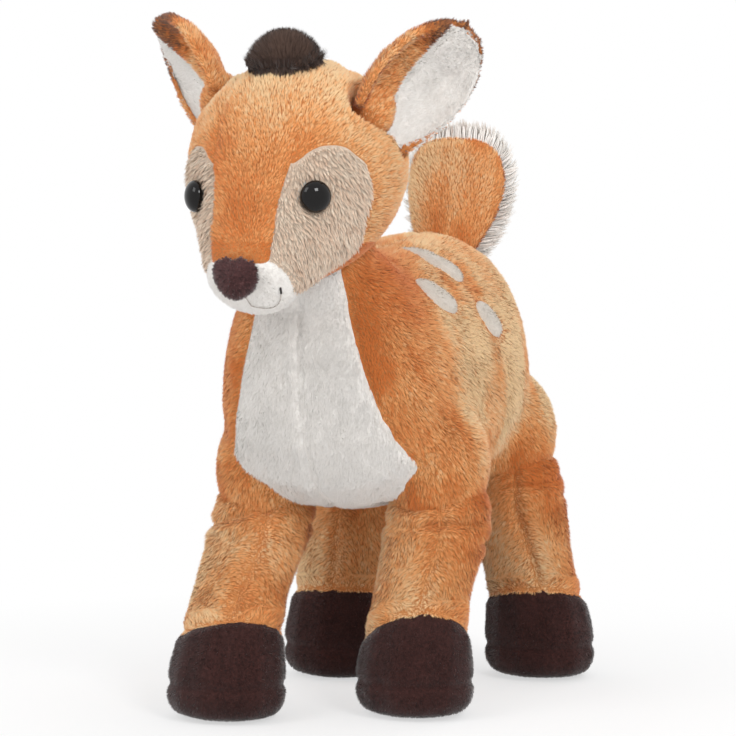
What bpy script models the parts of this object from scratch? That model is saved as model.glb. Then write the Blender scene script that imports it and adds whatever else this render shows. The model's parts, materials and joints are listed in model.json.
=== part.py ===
"""Plush fawn: stuffed body, head, legs and tail under sewn panels.

Metres, +Z up. The fawn faces -Y, its left side is +X, and it stands on Z = 0.
Each stuffed form is lofted from rings along its spine. The cloth panels are what
lies between that form and its lining, cut along the seams, and the fibre fills
the lining.
"""
from math import cos, pi, radians, sin, tan

import bmesh
import bpy
from mathutils import Matrix, Vector
from mathutils.bvhtree import BVHTree

mm = 0.001

# Clearances and cuts
seam_gap = 0.3 * mm
joint_clearance = 0.5 * mm
overrun = 60 * mm
hull_flatness_degrees = 11
outline_rounds = 2

# Cloth
plush_thickness = 2.5 * mm
short_pile_thickness = 2.0 * mm
fill_gap = 0.5 * mm

# Body: its middle stands behind the origin, which is under the middle of the whole fawn
torso_middle = 20.9 * mm
belly_height = 82 * mm
torso_length = 151 * mm
torso_width = 95 * mm
torso_height = 111 * mm
torso_sides = 10
torso_underside_squareness = 0.76
torso_underside_spread = 1.06

# Station: place along the body from its middle, height above the belly, tilt of the
# ring in degrees, half width as a share of half the torso's width, half height as a
# share of half the torso's height.
torso_station_shares = [
    (0.475, 0.560, 0, 0.46, 0.42),
    (0.410, 0.560, 0, 0.80, 0.80),
    (0.250, 0.515, 0, 1.02, 1.03),
    (0.030, 0.475, 0, 1.00, 0.97),
    (-0.180, 0.460, 4, 1.00, 0.97),
    (-0.337, 0.482, 21, 0.94, 0.99),
    (-0.383, 0.685, 41, 0.78, 0.66),
    (-0.387, 0.851, 63, 0.60, 0.45),
    (-0.387, 0.950, 80, 0.44, 0.36),
]

# Bib from the front: half width and height shares; then its rear edge from the side
bib_edge_shares = [
    (0.36, 1.05), (0.38, 0.88), (0.50, 0.62), (0.72, 0.32),
    (0.90, 0.14), (0.62, 0.02), (0.36, -0.30),
]
bib_bend_share = 0.300
bib_top_share = -0.530
belly_width_share = 0.360
belly_rear_share = 0.430

# Neck and head
neck_place_share = -0.430
neck_height_share = 0.900
neck_fill_radius = 22 * mm
ball_segments = 24
neck_nod_range = 6
head_turn_range = 15
head_length = 93 * mm
head_width = 87 * mm
head_height = 104 * mm
head_sides = 10

# Station: place forward and height from the neck's centre as shares of the head's
# length and height, tilt, half width and half height shares.
head_station_shares = [
    (0.245, 0.440, -10, 0.46, 0.36),
    (0.140, 0.430, -12, 0.84, 0.70),
    (-0.110, 0.385, -20, 1.03, 0.88),
    (-0.330, 0.260, -30, 0.92, 0.79),
    (-0.460, 0.080, -42, 0.60, 0.50),
    (-0.560, -0.040, -45, 0.44, 0.36),
    (-0.630, -0.122, -45, 0.35, 0.29),
]

# Room over the body for the turning head, split where the jaw meets the cranium
jaw_back_share = -0.260
cranium_front_share = -0.460
room_top_share = 0.250

# Head panels: outlines from the side and, for the forehead strip, from the front
gusset_edge_shares = [(0.22, 0.00), (0.25, 0.10), (0.29, 0.22), (0.37, 0.35), (0.42, 0.60), (0.46, 1.00)]
patch_shares = [
    (-0.500, 0.435), (-0.420, 0.435), (-0.330, 0.360), (-0.270, 0.200), (-0.320, 0.050),
    (-0.480, -0.080), (-0.740, -0.240), (-0.900, 0.000), (-0.645, 0.190), (-0.605, 0.325),
]
muzzle_seam_shares = (-0.575, -0.062)
muzzle_lean_degrees = 46

# Legs: sewn to the body at the hip, each foot set down where it stands
leg_sides = 6
hip_radius = 22 * mm
ankle_radius = 19 * mm
hoof_radius = 23 * mm
hoof_height = 38 * mm
sole_height = 14 * mm
sole_press = 0.5 * mm
leg_swing_range = 12
hip_spread_share = 0.768
front_hip_share = -0.240
back_hip_share = 0.325
front_hip_height = 82 * mm
back_hip_height = 86 * mm
hip_twist = 4 * mm

# Rings of a leg: height share, radius share and share of the lean towards the hip
sole_radius_share = 0.80
hoof_station_shares = [(0.145, 1.02), (0.58, 0.99)]
shaft_station_shares = [(0.0, 1.00, 0.20), (0.40, 1.00, 0.55)]
hip_station_shares = [(-0.25, 0.99, 0.96), (0.58, 0.84, 1.0), (0.92, 0.40, 1.0)]

# Leg: name, side, hip place share, hip height, stride to the rear, lean outward
legs = [
    ("front_left", 1, front_hip_share, front_hip_height, -1 * mm, -7 * mm),
    ("front_right", -1, front_hip_share, front_hip_height, -31 * mm, -1 * mm),
    ("back_left", 1, back_hip_share, back_hip_height, 17 * mm, 6 * mm),
    ("back_right", -1, back_hip_share, back_hip_height, -10 * mm, 0 * mm),
]

# How each leg is sewn on: degrees that its seams are turned about the upright, height
# of the hoof's top seam at the heel, and degrees that this seam climbs towards the toe
leg_seams = {
    "front_left": (24, 25 * mm, 35),
    "front_right": (24, 27 * mm, 30),
    "back_left": (24, 29 * mm, 15),
    "back_right": (12, 31 * mm, 12),
}

# Tail
tail_length = 66 * mm
tail_width = 48 * mm
tail_thickness = 22 * mm
tail_root_share = 0.425
tail_root_height_share = 0.850
tail_bend_down = 20
tail_bend_up = 15
tail_sides = 6
tail_seat_share = 0.420
tail_station_shares = [
    (-0.060, -0.070, 125, 0.38, 0.62),
    (0.030, 0.050, 122, 0.55, 0.80),
    (0.160, 0.270, 110, 0.86, 0.98),
    (0.225, 0.530, 95, 1.00, 1.02),
    (0.225, 0.750, 80, 0.90, 0.90),
    (0.180, 0.880, 68, 0.52, 0.56),
]

# Ears
ear_length = 48 * mm
ear_width = 43 * mm
ear_cup = 12 * mm
ear_lining_thickness = 1.6 * mm
ear_gap = 0.5 * mm
ear_clearance = 1.0 * mm
ear_root_length = 4 * mm
ear_lean_degrees = {1: 40, -1: 43}
ear_back_degrees = 21
ear_face_degrees = {1: 34, -1: 48}
ear_fold_range = 20
ear_columns = 6
ear_seat_share = 0.620
ear_out_shares = {1: 0.90, -1: 0.92}
ear_place_share = -0.155
ear_up_shares = {1: 0.505, -1: 0.560}

# Row of an ear: place along it, half width share
ear_row_shares = [(0, 0.70), (0.20, 0.92), (0.42, 1.00), (0.63, 0.96), (0.81, 0.78), (0.93, 0.52), (1, 0.18)]

# Face
eye_radius = 5.3 * mm
eye_rise = 4.2 * mm
eye_rim = 0.8 * mm
eye_bed = 1.2 * mm
shank_radius = 2.0 * mm
shank_length = 9 * mm
washer_radius = 6.5 * mm
washer_thickness = 1.6 * mm
eye_place_share = -0.530
eye_height_share = 0.245
nose_width = 25 * mm
nose_height = 22 * mm
nose_depth = 12 * mm
nose_chin_share = 0.620
nose_swell_share = 1.250
nose_lean_degrees = -22
nose_place_share = -0.668
nose_rise_share = -0.012
mouth_thread = 1.0 * mm
mouth_gap = 0.6 * mm
mouth_shares = [(0.0, 0.40), (0.02, 0.74), (0.21, 0.85), (0.42, 0.80), (0.56, 0.61), (0.59, 0.40)]
tuft_width = 33 * mm
tuft_depth = 28 * mm
tuft_height = 16 * mm
tuft_place_share = -0.255
tuft_rise_share = 0.735

# Spots on each flank: place and height as shares of the torso, length, width, turn
spot_thickness = 1.2 * mm
spot_rise = 0.4 * mm
spots = [
    ("upper", 0.033, 0.885, 13 * mm, 10 * mm, 65),
    ("front", -0.139, 0.780, 18 * mm, 10 * mm, 31),
    ("rear", 0.073, 0.680, 15 * mm, 10 * mm, 56),
]


def torso_point(place, height):
    """A point of the body's middle plane from its shares."""
    return Vector((0, torso_middle + place * torso_length, belly_height + height * torso_height))


neck_centre = torso_point(neck_place_share, neck_height_share)

parts = None
cutters = None


def clear_scene():
    """Start from nothing."""
    for thing in list(bpy.data.objects):
        bpy.data.objects.remove(thing, do_unlink=True)


def new_collection(name):
    collection = bpy.data.collections.new(name)
    bpy.context.scene.collection.children.link(collection)
    return collection


def material(name, colour, roughness, metallic=0.0):
    """A plain surface of one colour."""
    made = bpy.data.materials.get(name)
    if made is None:
        made = bpy.data.materials.new(name)
        made.use_nodes = True
        shader = made.node_tree.nodes["Principled BSDF"]
        shader.inputs["Base Color"].default_value = (*colour, 1.0)
        shader.inputs["Roughness"].default_value = roughness
        shader.inputs["Metallic"].default_value = metallic
    return made


orange = ("orange_plush", (0.62, 0.30, 0.10), 0.95)
white = ("white_plush", (0.82, 0.80, 0.76), 0.95)
taupe = ("taupe_plush", (0.55, 0.43, 0.31), 0.95)
brown = ("brown_short_pile", (0.045, 0.02, 0.018), 0.95)
dark = ("dark_long_pile", (0.03, 0.02, 0.015), 0.95)
grey = ("spot_plush", (0.56, 0.52, 0.47), 0.8)
fibre = ("polyester_fibre", (0.9, 0.9, 0.9), 1.0)
gloss = ("black_gloss_plastic", (0.006, 0.005, 0.005), 0.08)
milky = ("washer_plastic", (0.75, 0.75, 0.72), 0.4)
thread = ("mouth_thread", (0.02, 0.015, 0.015), 0.6)


def add_object(name, mesh, finish=None):
    """A named object in the parts, or a hidden guide when it has no finish."""
    made = bpy.data.objects.new(name, mesh)
    if finish is None:
        cutters.objects.link(made)
        made.hide_render = True
        made.display_type = "WIRE"
    else:
        parts.objects.link(made)
        mesh.materials.clear()
        mesh.materials.append(material(*finish))
    return made


def mesh_from(bm, name):
    bmesh.ops.recalc_face_normals(bm, faces=bm.faces)
    mesh = bpy.data.meshes.new(name)
    bm.to_mesh(mesh)
    bm.free()
    mesh.shade_smooth()
    return mesh


def final_mesh(made, name):
    """The mesh that an object's modifiers give, in flat triangles that cut cleanly."""
    graph = bpy.context.evaluated_depsgraph_get()
    mesh = bpy.data.meshes.new_from_object(made.evaluated_get(graph), depsgraph=graph)
    mesh.name = name
    return in_triangles(mesh)


def in_triangles(mesh):
    bm = bmesh.new()
    bm.from_mesh(mesh)
    bmesh.ops.triangulate(bm, faces=bm.faces)
    bm.to_mesh(mesh)
    bm.free()
    return mesh


def cut(made, cutter, operation="DIFFERENCE"):
    """Add a Boolean that cuts, keeps or joins."""
    boolean = made.modifiers.new(operation.lower() + "_" + cutter.name[:40], "BOOLEAN")
    boolean.operation = operation
    boolean.object = cutter
    boolean.solver = "EXACT"


def subdivide(made, levels=1):
    surface = made.modifiers.new("soft", "SUBSURF")
    surface.levels = levels
    surface.render_levels = levels


# Lofted forms

def squared(value, power):
    """Push an oval's sine or cosine towards a square with round corners."""
    return abs(value) ** power * (1 if value > 0 else -1)


def ring(centre, tilt, half_width, half_height, sides, power, spread):
    """Points of an oval ring that leans by its tilt about X, squarer and wider underneath."""
    up = Vector((0, sin(radians(tilt)), cos(radians(tilt))))
    across = Vector((1, 0, 0))
    points = []
    for step in range(sides):
        turn = 2 * pi * step / sides
        under = cos(turn) < 0
        corner = power if under else 1
        wide = squared(sin(turn), corner) * half_width * (spread if under else 1)
        points.append(centre + across * wide + up * squared(cos(turn), corner) * half_height)
    return points


def loft(name, stations, sides, power=1.0, spread=1.0):
    """A closed cage through rings, rounded by one subdivision.

    The cage is drawn wider and higher than the rings by what the subdivision takes off.
    """
    step = pi / sides
    high_swell = 4 / (3 + cos(2 * step))
    wide_swell = high_swell if sides % 4 == 0 else 8 / (7 * cos(step) + cos(3 * step))
    bm = bmesh.new()
    rows = []
    for centre, tilt, half_width, half_height in stations:
        points = ring(centre, tilt, half_width * wide_swell, half_height * high_swell, sides, power, spread)
        rows.append([bm.verts.new(point) for point in points])
    for row, following in zip(rows, rows[1:]):
        for step in range(sides):
            after = (step + 1) % sides
            bm.faces.new((row[step], row[after], following[after], following[step]))
    bm.faces.new(rows[0])
    bm.faces.new(rows[-1])
    form = add_object(name, mesh_from(bm, name))
    subdivide(form)
    return form


def form_quads(form):
    """A form's rounded mesh while it is still in quads."""
    graph = bpy.context.evaluated_depsgraph_get()
    return bpy.data.meshes.new_from_object(form.evaluated_get(graph), depsgraph=graph)


def grown(form, distance, name, finish=None, coarse=False):
    """A copy of a form moved out along its normals, or in when negative."""
    copy = add_object(name, final_mesh(form, name))
    if distance:
        push = copy.modifiers.new("push", "DISPLACE")
        push.strength = distance
        push.mid_level = 0.0
    if coarse:
        copy.data = form_quads(form)
        fewer = copy.modifiers.new("fewer", "DECIMATE")
        fewer.decimate_type = "UNSUBDIV"
        fewer.iterations = 2
    mesh = final_mesh(copy, name)
    bpy.data.objects.remove(copy, do_unlink=True)
    mesh.shade_smooth()
    return add_object(name, mesh, finish)


def shell(form, lining, name, finish):
    """The cloth between a form and its lining, to be cut into one panel."""
    panel = grown(form, 0, name, finish)
    cut(panel, lining)
    return panel


# Cutters

def smooth_outline(points, rounds=outline_rounds):
    """Cut the corners of a closed outline so that it runs round."""
    for _ in range(rounds):
        softer = []
        for point, after in zip(points, points[1:] + points[:1]):
            softer.append(point.lerp(after, 0.25))
            softer.append(point.lerp(after, 0.75))
        points = softer
    return points


def widened(points, distance):
    """Move a closed outline outward by a distance."""
    area = sum(a.x * b.y - b.x * a.y for a, b in zip(points, points[1:] + points[:1]))
    turn = 1 if area > 0 else -1
    moved = []
    for before, point, after in zip(points[-1:] + points[:-1], points, points[1:] + points[:1]):
        incoming = (point - before).normalized()
        outgoing = (after - point).normalized()
        first = Vector((incoming.y, -incoming.x)) * turn
        second = Vector((outgoing.y, -outgoing.x)) * turn
        middle = (first + second).normalized()
        moved.append(point + middle * distance / max(middle.dot(first), 0.5))
    return moved


def prism(name, outline, along, low, high):
    """Extrude an outline along X or Y: outline points are (other axis, Z)."""
    def place(point, depth):
        return (depth, point.x, point.y) if along == "X" else (point.x, depth, point.y)
    bm = bmesh.new()
    face = bm.faces.new([bm.verts.new(place(point, low)) for point in outline])
    grown_face = bmesh.ops.extrude_face_region(bm, geom=[face])
    moved = [item for item in grown_face["geom"] if isinstance(item, bmesh.types.BMVert)]
    shift = Vector(place(Vector((0, 0)), high - low))
    bmesh.ops.translate(bm, verts=moved, vec=shift)
    made = add_object(name, mesh_from(bm, name))
    made.data.shade_flat()
    return made


def slab(name, low, high):
    """A box between two corners."""
    bm = bmesh.new()
    bmesh.ops.create_cube(bm, size=1)
    size = high - low
    bmesh.ops.scale(bm, vec=size, verts=bm.verts)
    bmesh.ops.translate(bm, vec=(low + high) / 2, verts=bm.verts)
    made = add_object(name, mesh_from(bm, name))
    made.data.shade_flat()
    return made


def ball(name, centre, radius, finish=None):
    bm = bmesh.new()
    bmesh.ops.create_uvsphere(bm, u_segments=ball_segments, v_segments=ball_segments // 2, radius=radius)
    bmesh.ops.translate(bm, vec=centre, verts=bm.verts)
    return add_object(name, mesh_from(bm, name), finish)


def rod(name, start, direction, length, radius, segments=10):
    """A round cutter along a direction."""
    bm = bmesh.new()
    bmesh.ops.create_cone(bm, cap_ends=True, segments=segments, radius1=radius, radius2=radius, depth=length)
    turn = direction.to_track_quat("Z", "Y").to_matrix().to_4x4()
    middle = start + direction * length / 2
    bmesh.ops.transform(bm, matrix=Matrix.Translation(middle) @ turn, verts=bm.verts)
    return add_object(name, mesh_from(bm, name))


def swept(name, forms, turns, keep, clearance=joint_clearance):
    """A convex cutter round the near part of forms at every turn of a joint."""
    bm = bmesh.new()
    for form in forms:
        wider = grown(form, clearance, "wider")
        for vertex in wider.data.vertices:
            if keep(vertex.co):
                for turn in turns:
                    bm.verts.new(turn @ vertex.co)
        bpy.data.objects.remove(wider, do_unlink=True)
    bmesh.ops.convex_hull(bm, input=bm.verts)
    loose = [vertex for vertex in bm.verts if not vertex.link_faces]
    bmesh.ops.delete(bm, geom=loose, context="VERTS")
    bmesh.ops.dissolve_limit(bm, angle_limit=radians(hull_flatness_degrees), verts=bm.verts, edges=bm.edges)
    bmesh.ops.triangulate(bm, faces=bm.faces)
    return add_object(name, mesh_from(bm, name))


def turn_about(centre, axis, degrees):
    back = Matrix.Translation(-centre)
    return Matrix.Translation(centre) @ Matrix.Rotation(radians(degrees), 4, axis) @ back


def steps_between(low, high, count):
    return [low + (high - low) * step / (count - 1) for step in range(count)]


def hinge(name, centre, children, above=None):
    """An empty on a joint, carrying the pieces that turn with it."""
    pivot = bpy.data.objects.new(name, None)
    parts.objects.link(pivot)
    pivot.location = centre
    pivot.empty_display_size = hoof_radius
    if above is not None:
        pivot.parent = above
        pivot.matrix_parent_inverse = Matrix.Translation(above.matrix_world.translation).inverted()
        pivot.location = centre
    bpy.context.view_layer.update()
    for child in children:
        child.parent = pivot
        child.matrix_parent_inverse = pivot.matrix_world.inverted()
    return pivot


# Body

def torso_forms():
    stations = [
        (torso_point(place, height), tilt, wide * torso_width / 2, high * torso_height / 2)
        for place, height, tilt, wide, high in torso_station_shares
    ]
    form = loft("torso_form", stations, torso_sides, torso_underside_squareness, torso_underside_spread)
    lining = grown(form, -plush_thickness, "torso_lining", coarse=True)
    return form, lining


def half_space(name, side, gap=seam_gap / 2):
    """Everything on one side of the middle seam."""
    reach = torso_length + overrun
    low = Vector((gap, -reach, -overrun))
    high = Vector((reach, reach, 3 * torso_height + overrun))
    if side < 0:
        low, high = Vector((-high.x, low.y, low.z)), Vector((-low.x, high.y, high.z))
    return slab(name, low, high)


def bib_outline():
    """The bib's outline seen from the front: half width share at each height share."""
    right = [Vector((wide * torso_width / 2, torso_point(0, high).z)) for wide, high in bib_edge_shares]
    left = [Vector((-point.x, point.y)) for point in reversed(right)]
    return smooth_outline(right + left, 1)


def bib_side_outline(grow):
    """Everything ahead of the bib's rear edge seen from the side."""
    ahead = -torso_length - overrun
    low = torso_point(front_hip_share, 0).y + grow
    high = torso_point(bib_top_share, 0).y + grow
    bend = torso_point(0, bib_bend_share).z
    return [Vector((ahead, -overrun)), Vector((low, -overrun)), Vector((low, bend)),
            Vector((high, neck_centre.z)), Vector((high, neck_centre.z + overrun)),
            Vector((ahead, neck_centre.z + overrun))]


def belly_outline():
    """The belly gusset's outline seen from below is a strip between the legs."""
    half = belly_width_share * torso_width / 2
    low = -overrun
    high = torso_point(0, bib_bend_share).z
    return [Vector((-half, low)), Vector((half, low)), Vector((half, high)), Vector((-half, high))]


def body_panels(clearances):
    form, lining = torso_forms()
    bib_back = torso_point(front_hip_share, 0).y
    front = -torso_length - overrun
    rear = torso_point(belly_rear_share, 0).y
    bib = prism("bib_region", bib_outline(), "Y", front, 0)
    cut(bib, prism("bib_side", bib_side_outline(0), "X", -torso_width, torso_width), "INTERSECT")
    bib_wide = prism("bib_border", widened(bib_outline(), seam_gap), "Y", front, 0)
    behind_bib = prism("bib_side_border", bib_side_outline(seam_gap), "X", -torso_width, torso_width)
    cut(bib_wide, behind_bib, "INTERSECT")
    belly = prism("belly_region", belly_outline(), "Y", bib_back + seam_gap, rear)
    belly_wide = prism("belly_border", widened(belly_outline(), seam_gap), "Y", bib_back, rear + seam_gap)
    sides = {1: half_space("left_half", 1), -1: half_space("right_half", -1)}
    made = []
    for side, word in ((1, "left"), (-1, "right")):
        flank = shell(form, lining, "flank_" + word, orange)
        cut(flank, sides[side], "INTERSECT")
        cut(flank, bib_wide)
        cut(flank, belly_wide)
        chest = shell(form, lining, "bib_" + word, white)
        cut(chest, sides[side], "INTERSECT")
        cut(chest, bib, "INTERSECT")
        made += [flank, chest]
    gusset = shell(form, lining, "belly_gusset", white)
    cut(gusset, belly, "INTERSECT")
    fill = grown(lining, -fill_gap, "torso_fill", fibre)
    made += [gusset, fill]
    for piece in made:
        for clearance in clearances:
            cut(piece, clearance)
    return form, made


def spot_pieces(form, flanks):
    """Grey ovals let into the flank, each in its own recess."""
    top = grown(form, spot_rise, "spot_top")
    under = grown(form, spot_rise - spot_thickness, "spot_under")
    bed = grown(form, spot_rise - spot_thickness - seam_gap, "spot_bed")
    made = []
    for side, word in ((1, "left"), (-1, "right")):
        for name, place, height, length, width, turn in spots:
            centre = torso_point(place, height)
            for grow, kind in ((0, "oval"), (seam_gap, "recess")):
                lean = radians(turn)
                oval = []
                for step in range(12):
                    along = (length / 2 + grow) * cos(2 * pi * step / 12)
                    rise = (width / 2 + grow) * sin(2 * pi * step / 12)
                    oval.append(Vector((centre.y + along * cos(lean) + rise * sin(lean),
                                        centre.z - along * sin(lean) + rise * cos(lean))))
                low, high = (0, torso_width) if side > 0 else (-torso_width, 0)
                region = prism("spot_%s_%s_%s" % (kind, word, name), oval, "X", low, high)
                if kind == "oval":
                    spot = grown(top, 0, "spot_%s_%s" % (word, name), grey)
                    cut(spot, under)
                    cut(spot, region, "INTERSECT")
                    made.append(spot)
                else:
                    cut(region, bed)
                    cut(flanks[side], region)
    return made


# Head

def head_point(place, height):
    """A point of the head's middle plane from the neck's centre, by shares."""
    return neck_centre + Vector((0, place * head_length, height * head_height))


def head_form_from_rings():
    stations = [
        (head_point(place, height), tilt, wide * head_width / 2, high * head_height / 2)
        for place, height, tilt, wide, high in head_station_shares
    ]
    return loft("head_form", stations, head_sides)


def surface_tree(form):
    """The form's surface as a tree for finding where pieces sit."""
    graph = bpy.context.evaluated_depsgraph_get()
    return BVHTree.FromObject(form, graph)


def seat_on(tree, start, direction):
    """Where a line meets a form, and the form's outward direction there."""
    place, normal, _, _ = tree.ray_cast(start, direction)
    return place, normal


def side_outline(points):
    """An outline on the head's side from shares, as (Y, Z) points."""
    placed = [head_point(place, height) for place, height in points]
    return smooth_outline([Vector((point.y, point.z)) for point in placed])


def patch_outline():
    return side_outline(patch_shares)


def gusset_outline():
    """The forehead strip seen from the front: half width share at each height share."""
    right = [Vector((wide * head_width / 2, head_point(0, high).z)) for wide, high in gusset_edge_shares]
    left = [Vector((-point.x, point.y)) for point in reversed(right)]
    return right + left


def muzzle_outline(grow):
    """Everything ahead of the muzzle seam, seen from the side."""
    seam = head_point(*muzzle_seam_shares)
    lean = Vector((-cos(radians(muzzle_lean_degrees)), -sin(radians(muzzle_lean_degrees))))
    across = Vector((-lean.y, lean.x))
    start = Vector((seam.y, seam.z)) - lean * grow
    reach = head_length
    return [start + across * reach, start - across * reach,
            start - across * reach + lean * reach, start + across * reach + lean * reach]


def head_panels(form, clearances):
    lining = grown(form, -plush_thickness, "head_lining", coarse=True)
    reach = head_width + overrun
    muzzle_region = prism("muzzle_region", muzzle_outline(0), "X", -reach, reach)
    muzzle_border = prism("muzzle_border", muzzle_outline(seam_gap), "X", -reach, reach)
    front = neck_centre.y - head_length - overrun
    back = neck_centre.y + head_length + overrun
    gusset_region = prism("gusset_region", gusset_outline(), "Y", front, back)
    gusset_border = prism("gusset_border", widened(gusset_outline(), seam_gap), "Y", front, back)
    made = {}
    gusset = shell(form, lining, "forehead_gusset", orange)
    cut(gusset, gusset_region, "INTERSECT")
    cut(gusset, muzzle_border)
    made["gusset"] = gusset
    muzzle = shell(form, lining, "muzzle", white)
    cut(muzzle, muzzle_region, "INTERSECT")
    made["muzzle"] = muzzle
    for side, word in ((1, "left"), (-1, "right")):
        half = half_space("head_half_" + word, side)
        low, high = (seam_gap / 2, reach) if side > 0 else (-reach, -seam_gap / 2)
        patch_region = prism("patch_region_" + word, patch_outline(), "X", low, high)
        patch_border = prism("patch_border_" + word, widened(patch_outline(), seam_gap), "X", low, high)
        patch = shell(form, lining, "eye_patch_" + word, taupe)
        cut(patch, patch_region, "INTERSECT")
        cut(patch, gusset_border)
        cut(patch, muzzle_border)
        cheek = shell(form, lining, "head_side_" + word, orange)
        cut(cheek, half, "INTERSECT")
        cut(cheek, gusset_border)
        cut(cheek, patch_border)
        cut(cheek, muzzle_border)
        made["patch_" + word] = patch
        made["side_" + word] = cheek
    fill = grown(lining, -seam_gap, "head_fill", fibre)
    made["fill"] = fill
    for piece in made.values():
        for clearance in clearances:
            cut(piece, clearance)
    return made


def turned(name, profile, finish=None, steps=14):
    """A turned piece: its profile runs down the outer side from the axis to the axis."""
    mesh = bpy.data.meshes.new(name)
    points = [(radius, 0, height) for radius, height in profile]
    closed = profile[0][0] > 0
    last = len(profile[1:])
    edges = [(step, step + 1) for step in range(last)]
    if closed:
        edges.append((last, 0))
    mesh.from_pydata(points, edges, [])
    made = add_object(name, mesh, finish)
    screw = made.modifiers.new("turn", "SCREW")
    screw.steps = steps
    screw.render_steps = steps
    screw.use_merge_vertices = True
    screw.merge_threshold = 0.01 * mm
    return made


def eye_pieces(tree, panels):
    """Glossy eyes on their shanks, each locked by a washer behind the cloth."""
    made = []
    for side, word in ((1, "left"), (-1, "right")):
        aim = head_point(eye_place_share, eye_height_share)
        far = Vector((side * head_width, aim.y, aim.z))
        place, normal = seat_on(tree, far, Vector((-side, 0, 0)))
        base = place - normal * eye_bed
        turn = normal.to_track_quat("Z", "Y").to_matrix().to_4x4()
        arc = [radians(angle) for angle in (90, 65, 38, 14)]
        profile = [(0 if step == 0 else eye_radius * cos(angle), eye_rim + (eye_rise - eye_rim) * sin(angle))
                   for step, angle in enumerate(arc)]
        profile += [(eye_radius, eye_rim / 2), (eye_radius - eye_rim / 2, 0), (shank_radius, 0),
                    (shank_radius, -shank_length), (0, -shank_length)]
        eye = turned("eye_" + word, profile, gloss)
        eye.matrix_world = Matrix.Translation(base + normal * seam_gap) @ turn
        eye.data.shade_smooth()
        depth = plush_thickness - eye_bed + 2 * seam_gap
        inner = shank_radius + seam_gap
        washer_profile = [(inner, -depth), (washer_radius, -depth),
                          (washer_radius, -depth - washer_thickness), (inner, -depth - washer_thickness)]
        washer = turned("eye_washer_" + word, washer_profile, milky)
        washer.matrix_world = Matrix.Translation(base) @ turn
        washer.data.shade_flat()
        bed = rod("eye_bed_" + word, base, normal, eye_rise * 2, eye_radius + seam_gap, 14)
        hole_depth = shank_length + eye_rim + 2 * seam_gap
        hole_radius = shank_radius + 2 * seam_gap
        hole = rod("shank_hole_" + word, base + normal * eye_rim, -normal, hole_depth, hole_radius)
        pocket = rod("washer_pocket_" + word, base - normal * (depth - seam_gap), -normal,
                     washer_thickness + 2 * seam_gap, washer_radius + seam_gap * 2)
        recess = rod("washer_recess_" + word, base, -normal, depth + washer_thickness + seam_gap,
                     washer_radius + seam_gap * 2)
        for tool in (bed, hole, pocket):
            cut(panels["patch_" + word], tool)
        cut(panels["fill"], hole)
        cut(panels["fill"], recess)
        made += [eye, washer]
    return made


def nose_piece(form):
    """A soft pad, wider above than below, sewn over the end of the muzzle."""
    bm = bmesh.new()
    bmesh.ops.create_cube(bm, size=1)
    for vertex in bm.verts:
        narrow = 1.0 if vertex.co.z > 0 else nose_chin_share
        vertex.co.x *= narrow
    size = Vector((nose_width, nose_depth, nose_height)) * nose_swell_share
    bmesh.ops.scale(bm, vec=size, verts=bm.verts)
    lean = Matrix.Rotation(radians(nose_lean_degrees), 4, "X")
    place = head_point(nose_place_share, nose_rise_share)
    bmesh.ops.transform(bm, matrix=Matrix.Translation(place) @ lean, verts=bm.verts)
    guide = add_object("nose_form", mesh_from(bm, "nose_form"))
    subdivide(guide, 2)
    nose = grown(guide, 0, "nose", brown)
    cut(nose, grown(form, seam_gap, "nose_seat"))
    return nose


def tuft_piece(form):
    """Long pile on the crown, a low dome."""
    place = head_point(tuft_place_share, tuft_rise_share)
    bm = bmesh.new()
    bmesh.ops.create_uvsphere(bm, u_segments=14, v_segments=8, radius=1)
    bmesh.ops.scale(bm, vec=(tuft_width / 2, tuft_depth / 2, tuft_height), verts=bm.verts)
    bmesh.ops.translate(bm, vec=place, verts=bm.verts)
    tuft = add_object("tuft", mesh_from(bm, "tuft"), dark)
    cut(tuft, grown(form, seam_gap, "tuft_seat"))
    return tuft


def mouth_piece(form):
    """The embroidered mouth: down from the nose, then a smile to the left corner."""
    surface = surface_tree(form)
    back_up = Vector((0, cos(radians(muzzle_lean_degrees)), sin(radians(muzzle_lean_degrees))))
    down = Vector((0, back_up.z, -back_up.y))
    lift = mouth_thread / 2 + mouth_gap
    points = []
    for wide, low in mouth_shares:
        aim = head_point(nose_place_share, nose_rise_share) - back_up * nose_width
        aim += Vector((wide * nose_width, 0, 0)) + down * low * nose_height
        place, normal = seat_on(surface, aim, back_up)
        points.append(place + normal * lift)
    return points


# Legs

def leg_stations(hip, foot):
    """Rings from the sole up to the ball at the hip."""
    rows = [(-sole_press, hoof_radius * sole_radius_share, 0)]
    for high, wide in hoof_station_shares:
        rows.append((hoof_height * high, hoof_radius * wide, 0))
    for high, wide, lean in shaft_station_shares:
        rows.append((hoof_height + (hip.z - hoof_height) * high, ankle_radius * wide, lean))
    for high, wide, lean in hip_station_shares:
        rows.append((hip.z + hip_radius * high, hip_radius * wide, lean))
    stations = []
    for height, radius, lean in rows:
        centre = Vector((foot.x + (hip.x - foot.x) * lean, foot.y + (hip.y - foot.y) * lean, height))
        stations.append((centre, 90, radius, radius))
    return stations


def leg_places(side, hip_share, hip_height, stride, lean):
    hip = torso_point(hip_share, 0) + Vector((side * hip_spread_share * torso_width / 2, side * hip_twist, 0))
    hip.z = hip_height
    foot = Vector((hip.x + side * lean, hip.y + stride, 0))
    return hip, foot


def hoof_outline(middle, top, climb_degrees):
    """Everything below a seam that runs level from the heel and climbs to the toe, from the side."""
    reach = hoof_radius + overrun
    rise = reach * tan(radians(climb_degrees))
    return [
        Vector((middle - reach, -overrun)), Vector((middle + reach, -overrun)),
        Vector((middle + reach, top)), Vector((middle, top)), Vector((middle - reach, top + rise)),
    ]


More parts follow.
